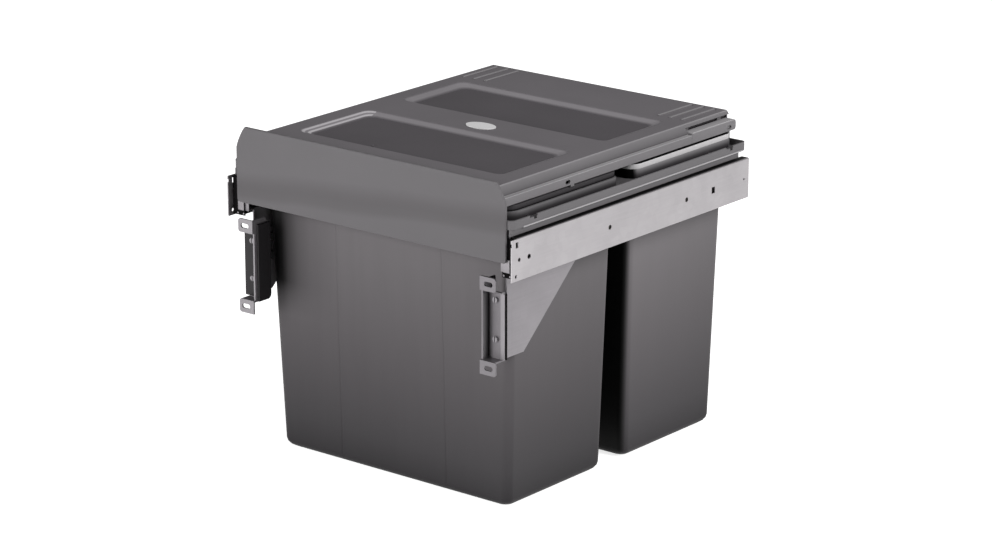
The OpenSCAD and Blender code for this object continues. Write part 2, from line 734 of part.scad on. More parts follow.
// A hinge arm along the lid side. Its rear end is narrower, takes the pin and roofs the tray's ear
module hinge_arm(side) color("gray") on_side(side) difference() {
    roof_z = hinge_z + boss_r + 0.2;
    union() {
        plate_yz(arm_x, lid_hw - arm_x) polygon([
            [arm_front, lid_z], [boss_clear_y, lid_z], [boss_clear_y, arm_top], [arm_front + 2, arm_top],
            [arm_front, arm_top - 1.5]
        ]);
        plate_yz(boss_x, lid_hw - boss_x) polygon([
            [boss_clear_y - eps, lid_z], [lid_rear - 2.6, lid_z], [lid_rear - 0.8, lid_z + 1],
            [lid_rear, lid_z + 3], [lid_rear, arm_top - 4], [lid_rear - 1.2, arm_top - 1.2],
            [lid_rear - 4, arm_top], [boss_clear_y - eps, arm_top]
        ]);
        translate([arm_x, boss_clear_y - eps, roof_z])
            cube([boss_x - arm_x + eps, lid_rear - 4 - boss_clear_y, arm_top - roof_z]);
        bar_x(boss_x, hinge_y, hinge_z, boss_r, lid_hw - boss_x);
    }
    bar_x(boss_x - 1, hinge_y, hinge_z, pin_r + fit_gap / 2, lid_hw - boss_x - 1);
    for (y = [hinge_y - boss_r - 7, hinge_y - boss_r - 3])
        bar_x(lid_hw - 2, y, hinge_z, boss_r * 0.55, 3);
    translate([lid_hw - 2, hinge_y - boss_r - 7, hinge_z - boss_r * 0.55]) cube([3, 4, boss_r * 1.1]);
}

module hinge_pins() color("lightgray") both_sides()
    bar_x(ear_x, hinge_y, hinge_z, pin_r, lid_hw - 2.2 - ear_x);

module lid_badge() color("lightgray") translate([0, badge_y, lid_top]) linear_extrude(0.8)
    polygon([for (a = [0:6:354]) [badge_w / 2 * cos(a), badge_d / 2 * sin(a)]]);

centred() cabinet_rail(-1);  // cabinet_rail_left
centred() cabinet_rail(1);  // cabinet_rail_right
centred() middle_rail(-1);  // middle_rail_left
centred() middle_rail(1);  // middle_rail_right
centred() inner_rail(-1);  // inner_rail_left
centred() inner_rail(1);  // inner_rail_right
centred() ball_cage(-1, outer_cage_u, outer_ball_v);  // outer_ball_cage_left
centred() ball_cage(1, outer_cage_u, outer_ball_v);  // outer_ball_cage_right
centred() ball_cage(-1, inner_cage_u, inner_ball_v);  // inner_ball_cage_left
centred() ball_cage(1, inner_cage_u, inner_ball_v);  // inner_ball_cage_right
centred() ball_rows(-1, outer_ball_v);  // outer_balls_left
centred() ball_rows(1, outer_ball_v);  // outer_balls_right
centred() ball_rows(-1, inner_ball_v);  // inner_balls_left
centred() ball_rows(1, inner_ball_v);  // inner_balls_right
centred() slide_buffer(-1);  // slide_buffer_left
centred() slide_buffer(1);  // slide_buffer_right
centred() support_bracket(-1);  // support_bracket_left
centred() support_bracket(1);  // support_bracket_right
centred() support_gusset(-1);  // support_gusset_left
centred() support_gusset(1);  // support_gusset_right
centred() slide_rivets();
centred() door_bracket(-1);  // door_bracket_left
centred() door_bracket(1);  // door_bracket_right
centred() bracket_angle(-1);  // bracket_angle_left
centred() bracket_angle(1);  // bracket_angle_right
centred() adjuster_cover(-1);  // adjuster_cover_left
centred() adjuster_cover(1);  // adjuster_cover_right
centred() adjusting_screws();
centred() bracket_bolts();
centred() tray_frame();
centred() tray_screws();
centred() front_panel();
centred() panel_screws();
centred() front_bucket();
centred() rear_bucket();
centred() front_bag_ring();
centred() rear_bag_ring();
centred() lid_cover();
centred() hinge_arm(-1);  // hinge_arm_left
centred() hinge_arm(1);  // hinge_arm_right
centred() hinge_pins();
centred() lid_badge();
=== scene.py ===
# %% [markdown]
# # A pull-out waste bin frame
#
# The object is a kitchen fitting: two ball slides carry a plastic tray with a front
# panel, two hanging buckets with bag rings, and a lid that swings up from its rear
# edge. Two slotted steel brackets take the cabinet door. All of it could be modelled
# here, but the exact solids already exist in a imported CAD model. This lesson takes them
# from there and gives them the edges, small forms and finishes that a moulded and
# pressed product has.

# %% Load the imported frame
import math

import bmesh
import bpy
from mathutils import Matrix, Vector


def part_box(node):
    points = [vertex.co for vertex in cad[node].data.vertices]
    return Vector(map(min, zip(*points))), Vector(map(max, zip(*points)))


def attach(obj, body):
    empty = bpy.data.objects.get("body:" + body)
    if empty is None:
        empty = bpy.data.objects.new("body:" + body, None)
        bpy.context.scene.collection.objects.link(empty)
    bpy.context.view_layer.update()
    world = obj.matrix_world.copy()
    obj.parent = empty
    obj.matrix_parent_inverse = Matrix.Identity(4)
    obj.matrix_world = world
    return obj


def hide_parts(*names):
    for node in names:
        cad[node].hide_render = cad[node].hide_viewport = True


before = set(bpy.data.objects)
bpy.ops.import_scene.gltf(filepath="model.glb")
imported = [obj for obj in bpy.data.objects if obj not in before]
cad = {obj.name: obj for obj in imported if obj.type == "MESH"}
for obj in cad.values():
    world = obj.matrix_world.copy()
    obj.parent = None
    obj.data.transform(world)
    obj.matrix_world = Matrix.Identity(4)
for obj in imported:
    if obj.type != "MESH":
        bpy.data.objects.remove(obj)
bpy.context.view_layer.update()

# %% [markdown]
# ## Camera
#
# The camera stands in front and to the right, a little above the lid, with a long
# lens, so upright edges stay nearly parallel. It could be tracked to a target, but a
# fixed place and turn are easier to keep. The Standard view shows colours as they are
# set, without a film curve.

# %% Camera
SENSOR_MM = 36.0
LENS_MM = 131.97
CAMERA_AT = Vector((2.5562, -3.1338, 1.4401))
AZIMUTH = math.radians(39.098)
ELEVATION = math.radians(17.124)

towards_camera = Vector((math.sin(AZIMUTH) * math.cos(ELEVATION),
                         -math.cos(AZIMUTH) * math.cos(ELEVATION),
                         math.sin(ELEVATION)))
bpy.ops.object.select_all(action="DESELECT")
bpy.ops.object.camera_add(
    location=CAMERA_AT, rotation=towards_camera.to_track_quat("Z", "Y").to_euler())
camera = bpy.context.object
camera.name = "product_camera"
camera.data.sensor_width = SENSOR_MM
camera.data.lens = LENS_MM
bpy.context.scene.camera = camera
bpy.context.scene.view_settings.view_transform = "Standard"
print("camera lens", LENS_MM, "mm")

# %% [markdown]
# ## Helpers for finishes
#
# Every finish is a node tree on one shader. Such a tree could be drawn by hand in the
# shader editor, but code keeps all finishes alike and easy to change. One function turns
# a colour code into Blender's linear colour, and one adds a node with its settings,
# values and links. The others start a finish, link its results to the shader, and make
# tones that follow a distance.

# %% Colours and nodes
def linear(code):
    """A colour from its sRGB hex code, as Blender's linear red, green, blue, alpha."""
    parts = [int(code[i:i + 2], 16) / 255 for i in (1, 3, 5)]
    return [c / 12.92 if c <= 0.04045 else ((c + 0.055) / 1.055) ** 2.4
            for c in parts] + [1.0]


def add(tree, kind, values=(), links=(), **settings):
    """Adds a shader node, sets it up, fills its sockets and links others to it."""
    made = tree.nodes.new("ShaderNode" + kind)
    for key, value in settings.items():
        setattr(made, key, value)
    for socket, value in dict(values).items():
        made.inputs[socket].default_value = value
    for socket, source in dict(links).items():
        tree.links.new(source, made.inputs[socket])
    return made


print("mid grey in linear light:", round(linear("#808080")[0], 3))

# %% Start and end of a finish
def new_material(name, **values):
    """A new finish: its node tree, and its shader with constant values set."""
    material = bpy.data.materials.new(name)
    material.use_nodes = True
    shader = material.node_tree.nodes["Principled BSDF"]
    for socket, value in values.items():
        shader.inputs[socket.replace("_", " ")].default_value = value
    return material, material.node_tree, shader


def link_surface(tree, shader, colour, roughness, normal):
    """Links what the nodes work out to the shader's colour, roughness and normal."""
    tree.links.new(colour, shader.inputs["Base Color"])
    tree.links.new(roughness, shader.inputs["Roughness"])
    tree.links.new(normal, shader.inputs["Normal"])


def tones_along(tree, distance, tones):
    """Colours that follow a distance, from rising pairs of metres and colour code."""
    first, last = tones[0][0], tones[-1][0]
    along = add(tree, "MapRange", {"From Min": first, "From Max": last}, {"Value": distance})
    ramp = add(tree, "ValToRGB", links={"Fac": along.outputs["Result"]})
    stops = ramp.color_ramp.elements
    stops[0].position, stops[0].color = 0.0, linear(tones[0][1])
    stops[1].position, stops[1].color = 1.0, linear(tones[-1][1])
    for at, code in tones[1:-1]:
        stops.new((at - first) / (last - first)).color = linear(code)
    return ramp.outputs["Color"]


print("helpers for finishes are ready")

# %% [markdown]
# ## Floor and light
#
# A product shot on white stands on a lit table: the floor glows a little, so that it
# stays white and the shadow is faint. A plain white background would be simpler, but it
# takes no shadow. One large soft box stands low in front and lights the panel. The other
# hangs higher at the right, so that the lid's flange throws a shadow on the rings below
# it. The pale sky fills the rest.

# %% Floor and sky
FLOOR_SIZE = 60.0
FLOOR_GLOW = 0.78
SKY_STRENGTH = 0.25

bpy.ops.object.select_all(action="DESELECT")
bpy.ops.mesh.primitive_plane_add(size=FLOOR_SIZE, location=(0, 0, 0))
floor = bpy.context.object
floor.name = "studio_floor"
# Matt acrylic, lit from below: a white without an edge, which still takes a faint shadow.
light_table = new_material(
    "white_light_table", Base_Color=linear("#dcdcdc"), Roughness=1.0, Specular_IOR_Level=0.0,
    Emission_Color=linear("#ffffff"), Emission_Strength=FLOOR_GLOW)[0]
floor.data.materials.append(light_table)

world = bpy.data.worlds.new("pale_studio")
bpy.context.scene.world = world
world.use_nodes = True
sky = world.node_tree.nodes["Background"]
sky.inputs["Color"].default_value = linear("#ffffff")
sky.inputs["Strength"].default_value = SKY_STRENGTH
print("floor glow", FLOOR_GLOW, "sky strength", SKY_STRENGTH)

# %% Soft boxes
LOOK_AT = Vector((0.0, 0.0, 0.2))
# Each row is a name, a place, a width in metres and a power in watts.
SOFT_BOXES = [
    ("front_soft_box", (-0.8, -4.2, 1.4), 2.2, 178),
    ("side_soft_box", (3.6, 0.8, 2.7), 2.0, 200),
]
for name, place, size, power in SOFT_BOXES:
    bpy.ops.object.select_all(action="DESELECT")
    turn = (Vector(place) - LOOK_AT).to_track_quat("Z", "Y").to_euler()
    bpy.ops.object.light_add(type="AREA", location=place, rotation=turn)
    box = bpy.context.object
    box.name = name
    box.data.size = size
    box.data.energy = power
print("soft boxes:", len(SOFT_BOXES))

# %% [markdown]
# ## Moulded plastic
#
# Almost everything one sees is moulded polypropylene, dyed dark grey in the mass. It
# is matt, with a fine spark-eroded grain that the mould leaves, and a faint cloudiness
# from the flow of the melt. A scanned texture could give the same, but noise needs no
# picture and fits every piece. The grain of the real part is about 0.3 mm wide, finer
# than a pixel here, so it is drawn a few times coarser. Each moulding has its own tone.
# Some change along an axis, as painted light and shade: the arms get a painted highlight on
# top, the dark ring gets painted shade that is blackest at its foot, and the adjusters' liners
# get painted shade that is grey in front and black further back.

# %% Grain and flow
PLASTIC_IOR = 1.49
FLOW_MM = 90.0
GRAIN_MM, GRAIN_DEPTH_MM, GRAIN_STRENGTH = 1.2, 0.12, 0.25
SHEEN_SPREAD = 0.06


def cloudy_colour(tree, place, code, spread):
    """A colour that drifts lighter and darker, as dyed plastic does along its flow."""
    flow = add(tree, "TexNoise", {"Scale": 1000 / FLOW_MM, "Detail": 3.0, "Roughness": 0.5},
               {"Vector": place})
    tone = linear(code)
    dark = [c * (1 - spread) for c in tone[:3]] + [1.0]
    light = [c * (1 + spread) for c in tone[:3]] + [1.0]
    mixed = add(tree, "Mix", {6: dark, 7: light}, {0: flow.outputs["Fac"]}, data_type="RGBA")
    return mixed.outputs[2]


def grain_bump(tree, place, grain_mm, depth_mm, strength):
    """The mould's grain: its bump and its height."""
    grain = add(tree, "TexNoise", {"Scale": 1000 / grain_mm, "Detail": 2.0}, {"Vector": place})
    bump = add(tree, "Bump", {"Strength": strength, "Distance": depth_mm / 1000},
               {"Height": grain.outputs["Fac"]})
    return bump.outputs["Normal"], grain.outputs["Fac"]


def moulded_plastic(name, code, roughness=0.55, spread=0.07, gloss=0.25, axis="Z", tones=()):
    """Dyed polypropylene with a spark-eroded grain, and tones that follow an axis."""
    material, tree, shader = new_material(name, IOR=PLASTIC_IOR, Specular_IOR_Level=gloss)
    place = add(tree, "TexCoord").outputs["Object"]
    normal, grain = grain_bump(tree, place, GRAIN_MM, GRAIN_DEPTH_MM, GRAIN_STRENGTH)
    sheen = add(tree, "MapRange", {"To Min": roughness - SHEEN_SPREAD,
                                   "To Max": roughness + SHEEN_SPREAD}, {"Value": grain})
    colour = cloudy_colour(tree, place, code, spread)
    if tones:
        distance = add(tree, "SeparateXYZ", links={"Vector": place}).outputs[axis]
        ramp = tones_along(tree, distance, tones)
        both = add(tree, "VectorMath", links={0: colour, 1: ramp}, operation="MULTIPLY")
        colour = both.outputs["Vector"]
    link_surface(tree, shader, colour, sheen.outputs["Result"], normal)
    return material


print("grain", GRAIN_MM, "mm, flow", FLOW_MM, "mm")

# %% Plain plastics
ARM_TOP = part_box("hinge_arm_right")[1][2]
RING_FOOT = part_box("front_bag_ring")[0][2]
LINER_SETBACK = 0.003
LINER_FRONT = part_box("door_bracket_right")[0][1] + LINER_SETBACK

# Grey bars with a painted highlight along the top.
arm_plastic = moulded_plastic(
    "grained_polypropylene_arm_lit_top", "#ffffff", gloss=0.1,
    tones=((ARM_TOP - 0.0016, "#646264"), (ARM_TOP - 0.0003, "#8c8a8c")))
# A plain dark grey, matt all over.
tray_plastic = moulded_plastic("grained_polypropylene_tray", "#525052")
# A thin pale line with a soft shine: its pale tone is a painted highlight along the bead.
bead_plastic = moulded_plastic("polypropylene_bead_painted_highlight", "#8c8a8c", roughness=0.35)
# A very dark band of painted shade under the lid's flange, which fades to black at its foot.
ring_shade_plastic = moulded_plastic(
    "satin_polypropylene_ring_painted_shade", "#ffffff", roughness=0.5, gloss=0.1,
    tones=((RING_FOOT + 0.0010, "#060506"), (RING_FOOT + 0.0030, "#343234")))
# A light, even grey with a satin shine.
pale_plastic = moulded_plastic(
    "satin_polypropylene_pale_ring", "#adabac", roughness=0.4, spread=0.03)
# A black that gives back almost no light: the buffers' own black, and painted shade on the
# strips in the ring channel and beside the bracket flange.
black_plastic = moulded_plastic("black_nylon_buffer_and_painted_shade", "#060506", roughness=0.6, gloss=0.05)
# A softer black, on which rounded edges still show: the adjuster covers' own black, and painted
# shade on the left channel's liner.
dark_plastic = moulded_plastic("black_nylon_cover_and_painted_shade", "#1b191b", roughness=0.5)
# Painted shade: grey in front, deepening to black in the depth of the bracket.
liner_plastic = moulded_plastic(
    "nylon_liner_painted_shade", "#ffffff", gloss=0.1, axis="Y",
    tones=((LINER_FRONT, "#575557"), (LINER_FRONT + 0.0090, "#080708")))
# Nearly white, and smooth enough to shine.
badge_plastic = moulded_plastic("glossy_white_badge", "#cecdce", roughness=0.25, spread=0.02)
print("plain plastics made")

# %% [markdown]
# The front panel has a faint dark band of painted shade along its middle. The band wanders a
# little and rises towards the right. It could be a shallow bend in the mesh, but it is far too
# faint to need one, so only its tone follows the height above the floor.

# %% Panel plastic
SHADE_BAND_Z = 0.333
SHADE_BAND_TILT = -0.075
SHADE_BAND_WANDER, WAVE_MM = 0.009, 143.0
PANEL_ROUGHNESS = (0.46, 0.58)
# Each row is a height above the floor, and how much of the tone the painted shade leaves there.
SHADE_BAND_ROWS = (
    (SHADE_BAND_Z - 0.016, "#fcfcfc"), (SHADE_BAND_Z - 0.009, "#ebeaea"),
    (SHADE_BAND_Z, "#e6e5e5"), (SHADE_BAND_Z + 0.006, "#eae9e9"),
    (SHADE_BAND_Z + 0.020, "#ffffff"))

# An even dark grey with one soft band of painted shade across it.
panel_plastic, tree, shader = new_material(
    "grained_polypropylene_panel", IOR=PLASTIC_IOR, Specular_IOR_Level=0.15)
place = add(tree, "TexCoord").outputs["Object"]
across = add(tree, "SeparateXYZ", links={"Vector": place})
tilted = add(tree, "Math", {1: SHADE_BAND_TILT}, {0: across.outputs["X"], 2: across.outputs["Z"]},
             operation="MULTIPLY_ADD")
wavy = add(tree, "TexNoise", {"Scale": 1000 / WAVE_MM, "Detail": 1.0}, {"Vector": place})
drift = add(tree, "MapRange", {"To Min": -SHADE_BAND_WANDER, "To Max": SHADE_BAND_WANDER},
            {"Value": wavy.outputs["Fac"]})
level = add(tree, "Math", links={0: tilted.outputs[0], 1: drift.outputs["Result"]},
            operation="ADD")
shading = tones_along(tree, level.outputs[0], SHADE_BAND_ROWS)
dyed = cloudy_colour(tree, place, "#555355", 0.05)
toned = add(tree, "VectorMath", links={0: dyed, 1: shading}, operation="MULTIPLY")
normal, grain = grain_bump(tree, place, GRAIN_MM, GRAIN_DEPTH_MM, GRAIN_STRENGTH)
sheen = add(tree, "MapRange", {"To Min": PANEL_ROUGHNESS[0], "To Max": PANEL_ROUGHNESS[1]},
            {"Value": grain})
link_surface(tree, shader, toned.outputs["Vector"], sheen.outputs["Result"], normal)
print("panel plastic made, with its sink line at", SHADE_BAND_Z)

# %% [markdown]
# The lid has several tones. Its frame has the common grain, and the floors of the two sunken
# fields are darker. The sloping sides of the fields are paler, as painted light, and the grip
# ribs carry a painted highlight on top. At the left end of the front field two painted
# highlights run along the slope. Below the floors, the hollow under the lid is painted nearly
# black, as shade. Outside the lid's crown, the shoulder and the flange are paler too, as
# painted light, with painted highlights along their edges and a painted shade line where they
# meet. Each tone could be a material on faces of its own. Here height tells them apart, because
# the floors lie five millimetres below the lid's top and the ribs stand on it, so the tones
# also run smoothly over the rounded edges. The distance from the middle tells the shoulder from
# the crown.

# %% Lid tones
LID_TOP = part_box("lid_badge")[0][2]
FIELD_DEPTH = 0.005
# The tone below the floors is painted shade in the hollow under the lid. The slope tone is
# painted light, and the brighter tones are painted highlights on the ribs and at the front
# field's left end.
HOLLOW_SHADE_TONE, FLOOR_TONE, FOOT_TONE = "#080708", "#4e4b4e", "#5e5b5e"
LIT_SLOPE_TONE, HIGHLIGHT_TONE = "#767376", "#a4a1a4"
FRAME_TONE, RIB_HIGHLIGHT_TONE = "#636063", "#807e80"
# Each row is a height in millimetres above the lid's top, and the tone there.
FLOOR_ROWS = ((-9.0, HOLLOW_SHADE_TONE), (-6.2, FLOOR_TONE), (-4.9, FLOOR_TONE))
CROWN_ROWS = FLOOR_ROWS + (
    (-4.2, FOOT_TONE), (-3.2, LIT_SLOPE_TONE), (-1.0, LIT_SLOPE_TONE), (-0.2, FRAME_TONE),
    (0.4, FRAME_TONE), (0.8, RIB_HIGHLIGHT_TONE), (2.0, RIB_HIGHLIGHT_TONE))
# Two painted highlights along the slope at the front field's left end.
HIGHLIGHT_ROWS = FLOOR_ROWS + (
    (-4.0, FOOT_TONE), (-3.5, HIGHLIGHT_TONE), (-2.9, HIGHLIGHT_TONE), (-2.5, LIT_SLOPE_TONE),
    (-1.8, LIT_SLOPE_TONE), (-1.4, HIGHLIGHT_TONE), (-0.8, HIGHLIGHT_TONE), (-0.2, FRAME_TONE))
# Painted light and shade outside the crown: highlights on the flange's top and the crown's
# edge, and a dark line in the crease between.
SHOULDER_LIGHT_ROWS = (
    (-21.0, "#646264"), (-11.8, "#656365"), (-11.2, "#8a888a"), (-10.8, "#8a888a"),
    (-10.4, "#4b494b"), (-9.8, "#4f4d4f"), (-8.8, "#565456"), (-6.0, "#5e5c5e"),
    (-1.6, "#656365"), (-0.6, "#787678"), (0.0, "#787678"))


def above_floor(rows):
    """Turns rows of millimetres above the lid's top into metres above the floor."""
    return [(LID_TOP + rise_mm / 1000, tone) for rise_mm, tone in rows]


print("lid top at", round(LID_TOP, 4))

# %% Lid plastic: tones by place
# Left of this and in front of this, the slope takes the two painted highlights.
HIGHLIGHT_X, BETWEEN_FIELDS_Y = -0.137, -0.0105
SHOULDER_WIDTH, SHOULDER_BLEND = 0.0135, 0.0006
CROWN_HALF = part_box("lid_cover")[1][0] - SHOULDER_WIDTH

# Dark grey with darker fields, framed by slopes and outer edges that are paler as painted
# light.
lid_plastic, tree, shader = new_material(
    "grained_polypropylene_lid", IOR=PLASTIC_IOR, Specular_IOR_Level=0.06)
place = add(tree, "TexCoord").outputs["Object"]
across = add(tree, "SeparateXYZ", links={"Vector": place})
bands = tones_along(tree, across.outputs["Z"], above_floor(CROWN_ROWS))
highlight_bands = tones_along(tree, across.outputs["Z"], above_floor(HIGHLIGHT_ROWS))
shoulder = tones_along(tree, across.outputs["Z"], above_floor(SHOULDER_LIGHT_ROWS))
at_left = add(tree, "Math", {1: HIGHLIGHT_X}, {0: across.outputs["X"]}, operation="LESS_THAN")
in_front = add(tree, "Math", {1: BETWEEN_FIELDS_Y}, {0: across.outputs["Y"]},
               operation="LESS_THAN")
left_end = add(tree, "Math", links={0: at_left.outputs[0], 1: in_front.outputs[0]},
               operation="MULTIPLY")
crown = add(tree, "Mix", links={0: left_end.outputs[0], 6: bands, 7: highlight_bands},
            data_type="RGBA")
side = add(tree, "Math", links={0: across.outputs["X"]}, operation="ABSOLUTE")
outside = add(tree, "MapRange", {"From Min": CROWN_HALF - SHOULDER_BLEND,
                                 "From Max": CROWN_HALF + SHOULDER_BLEND},
              {"Value": side.outputs[0]})
lid_tone = add(tree, "Mix", links={0: outside.outputs["Result"], 6: crown.outputs[2],
                                   7: shoulder}, data_type="RGBA")
print("lid crown", round(2 * CROWN_HALF, 4), "wide")

# %% Lid plastic: cloud and grain
LID_GRAIN_MM, LID_GRAIN_DEPTH_MM, LID_GRAIN_STRENGTH = 1.4, 0.15, 0.3
LID_ROUGHNESS = (0.52, 0.66)
LID_CLOUD = (0.9, 1.1)

cloud = add(tree, "TexNoise", {"Scale": 1000 / FLOW_MM, "Detail": 4.0}, {"Vector": place})
cloud_tone = add(tree, "MapRange", {"To Min": LID_CLOUD[0], "To Max": LID_CLOUD[1]},
                 {"Value": cloud.outputs["Fac"]})
toned = add(tree, "VectorMath", operation="MULTIPLY",
            links={0: lid_tone.outputs[2], 1: cloud_tone.outputs["Result"]})
normal, grain = grain_bump(tree, place, LID_GRAIN_MM, LID_GRAIN_DEPTH_MM, LID_GRAIN_STRENGTH)
sheen = add(tree, "MapRange", {"To Min": LID_ROUGHNESS[0], "To Max": LID_ROUGHNESS[1]},
            {"Value": grain})
link_surface(tree, shader, toned.outputs["Vector"], sheen.outputs["Result"], normal)
print("lid plastic made")

# %% [markdown]
# The buckets are smooth mouldings with thin walls. Their tones hold painted light and shade:
# paler near the rim and darker towards the foot, with a dark line where the bottom edge turns
# under, and a dark band at the foot of the rim that brightens to a painted highlight at its
# top. Long vertical flow marks run down the walls. The two walls that face each other across
# the gap get no light, and the finish is nearly black there, as painted shade. As the walls
# lean, the gap grows wider towards the floor, and so does the black. The rear bucket is a
# little paler, and each fades towards its back, as painted light. The corner behind the left
# door bracket has painted shade as well. More lamps with less sky could give such shadows too,
# but they would change every other piece, so the tones are put into the finish.

# %% Bucket tones
front_low, front_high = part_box("front_bucket")
rear_low, rear_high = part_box("rear_bucket")
FRONT_Y, REAR_Y, RIM_Z = front_low[1], rear_high[1], rear_high[2]
GAP_Y = (front_high[1] + rear_low[1]) / 2
# Each row is a part of the height from the floor to the rim, and the tone there: painted shade
# darkens the foot and the foot of the rim, and a painted highlight brightens the rim's top.
WALL_SHADE_ROWS = (
    (0.0, "#171617"), (0.03, "#2d2b2d"), (0.12, "#393739"), (0.45, "#4e4b4d"),
    (0.75, "#5d5a5c"), (0.955, "#625e61"), (0.9715, "#272527"), (0.979, "#343234"),
    (0.986, "#535153"), (0.994, "#716f71"), (1.0, "#7f7d7f"))
# Each row is a place along Y, and how much of the tone is left there: painted light makes the
# rear bucket paler, and each darker towards its back.
LENGTH_LIGHT_ROWS = (
    (FRONT_Y, "#e8e8e8"), (GAP_Y - 0.02, "#e2e2e2"), (GAP_Y + 0.02, "#ffffff"),
    (REAR_Y, "#eeeeee"))
# Each row is a place along X, and how much of the tone the painted shade leaves behind the
# bracket.
CORNER_SHADE_ROWS = (
    (-0.170, "#191919"), (-0.160, "#454545"), (-0.152, "#939393"), (-0.136, "#d0d0d0"),
    (-0.115, "#ededed"), (-0.070, "#ffffff"))
CORNER_FOOT, CORNER_FULL = 0.165, 0.205
CORNER_NEAR, CORNER_FAR = FRONT_Y + 0.03, FRONT_Y + 0.06
print("bucket rim at", round(RIM_Z, 4))

# %% Bucket walls
# Smooth dark grey walls with painted shade that fades into black below, in the gap and behind
# the bracket.
bucket_plastic, tree, shader = new_material(
    "smooth_polypropylene_bucket", IOR=PLASTIC_IOR, Specular_IOR_Level=0.1)
place = add(tree, "TexCoord").outputs["Object"]
across = add(tree, "SeparateXYZ", links={"Vector": place})
up_the_wall = tones_along(tree, across.outputs["Z"],
                          [(RIM_Z * part, code) for part, code in WALL_SHADE_ROWS])
along_wall = tones_along(tree, across.outputs["Y"], LENGTH_LIGHT_ROWS)
behind_bracket = tones_along(tree, across.outputs["X"], CORNER_SHADE_ROWS)
above_foot = add(tree, "MapRange", {"From Min": CORNER_FOOT, "From Max": CORNER_FULL},
                 {"Value": across.outputs["Z"]})
at_front = add(tree, "MapRange", {"From Min": CORNER_NEAR, "From Max": CORNER_FAR,
                                  "To Min": 1.0, "To Max": 0.0},
               {"Value": across.outputs["Y"]})
in_corner = add(tree, "Math", operation="MULTIPLY",
                links={0: above_foot.outputs["Result"], 1: at_front.outputs["Result"]})
corner_tone = add(tree, "Mix", {6: linear("#ffffff")},
                  {0: in_corner.outputs[0], 7: behind_bracket}, data_type="RGBA")
lengthwise = add(tree, "VectorMath", links={0: along_wall, 1: corner_tone.outputs[2]},
                 operation="MULTIPLY")
wall_tone = add(tree, "VectorMath", operation="MULTIPLY",
                links={0: up_the_wall, 1: lengthwise.outputs["Vector"]})
print("bucket walls toned from", round(FRONT_Y, 4), "to", round(REAR_Y, 4))

# %% Painted shade in the gap between the buckets
RIM_OVERHANG = 0.0035
GAP_HALF = (rear_low[1] - front_high[1]) / 2 + RIM_OVERHANG
LEAN_SHIFT, LEAN_SPREAD = 0.003, 0.006
DARK_TO, LIT_FROM, GAP_LIGHT = GAP_HALF + 0.001, GAP_HALF + 0.005, 0.01

below_rim = add(tree, "MapRange", {"From Max": RIM_Z, "To Min": 1.0, "To Max": 0.0},
                {"Value": across.outputs["Z"]}).outputs["Result"]
from_middle = add(tree, "Math", {1: GAP_Y}, {0: across.outputs["Y"]}, operation="SUBTRACT")
from_gap = add(tree, "Math", {1: -LEAN_SHIFT}, {0: below_rim, 2: from_middle.outputs[0]},
               operation="MULTIPLY_ADD")
either_side = add(tree, "Math", links={0: from_gap.outputs[0]}, operation="ABSOLUTE")
near_gap = add(tree, "Math", {1: -LEAN_SPREAD}, {0: below_rim, 2: either_side.outputs[0]},
               operation="MULTIPLY_ADD")
lit = add(tree, "MapRange", {"From Min": DARK_TO, "From Max": LIT_FROM, "To Min": GAP_LIGHT},
          {"Value": near_gap.outputs[0]})
print("gap between the buckets at", round(GAP_Y, 4))

# %% Flow marks, and the bucket plastic put together
MARK_MM, MARK_STRETCH = 14.0, 0.08
MARK_TONE = (0.94, 1.06)
BUCKET_ROUGHNESS = (0.42, 0.54)
BUCKET_GRAIN_MM, BUCKET_GRAIN_DEPTH_MM, BUCKET_GRAIN_STRENGTH = 2.5, 0.05, 0.15

tall = add(tree, "Mapping", {"Scale": (1.0, 1.0, MARK_STRETCH)}, {"Vector": place})
marks = add(tree, "TexNoise", {"Scale": 1000 / MARK_MM, "Detail": 2.0},
            {"Vector": tall.outputs["Vector"]}).outputs["Fac"]
mark_tone = add(tree, "MapRange", {"To Min": MARK_TONE[0], "To Max": MARK_TONE[1]},
                {"Value": marks})
shade = add(tree, "Math", links={0: mark_tone.outputs["Result"], 1: lit.outputs["Result"]},
            operation="MULTIPLY")
toned = add(tree, "VectorMath", operation="MULTIPLY",
            links={0: wall_tone.outputs["Vector"], 1: shade.outputs[0]})
sheen = add(tree, "MapRange", {"To Min": BUCKET_ROUGHNESS[0], "To Max": BUCKET_ROUGHNESS[1]},
            {"Value": marks})
normal = grain_bump(tree, place, BUCKET_GRAIN_MM, BUCKET_GRAIN_DEPTH_MM,
                    BUCKET_GRAIN_STRENGTH)[0]
link_surface(tree, shader, toned.outputs["Vector"], sheen.outputs["Result"], normal)
print("bucket plastic made")

# %% [markdown]
# ## Steel
#
# The slides are roll-formed from galvanised strip. Zinc freezes in flat crystals about
# a centimetre wide, each a little lighter or darker, and rolling leaves fine lines along
# the strip. Real lines lie much closer than a pixel is wide, so they are drawn coarser.
# The brackets are electro-plated with zinc, which is duller and has no crystals, so theirs are
# small and faint. The right door bracket's zinc is a shade darker, as painted shade. Inside the
# rails, the flanges and the parts that run there are painted dark as shade, so the screw holes
# in front of them look black. Bolts, balls and most other fasteners are bright. A plain grey
# metal would be quicker, but at this size it looks like paint.

# %% How zinc is drawn
LINE_MM, LINE_STRETCH = 1.6, 0.03
LINE_DEPTH_MM, LINE_STRENGTH = 0.1, 0.08
STAIN_MM, STAIN_FROM, STAIN_TO = 70.0, 0.3, 0.7
STAIN_TONE = (0.93, 1.05)
SHADE_BLEND, INSIDE_SHADE_TONE = 0.0004, 0.06
STEEL_SHEEN = 0.07


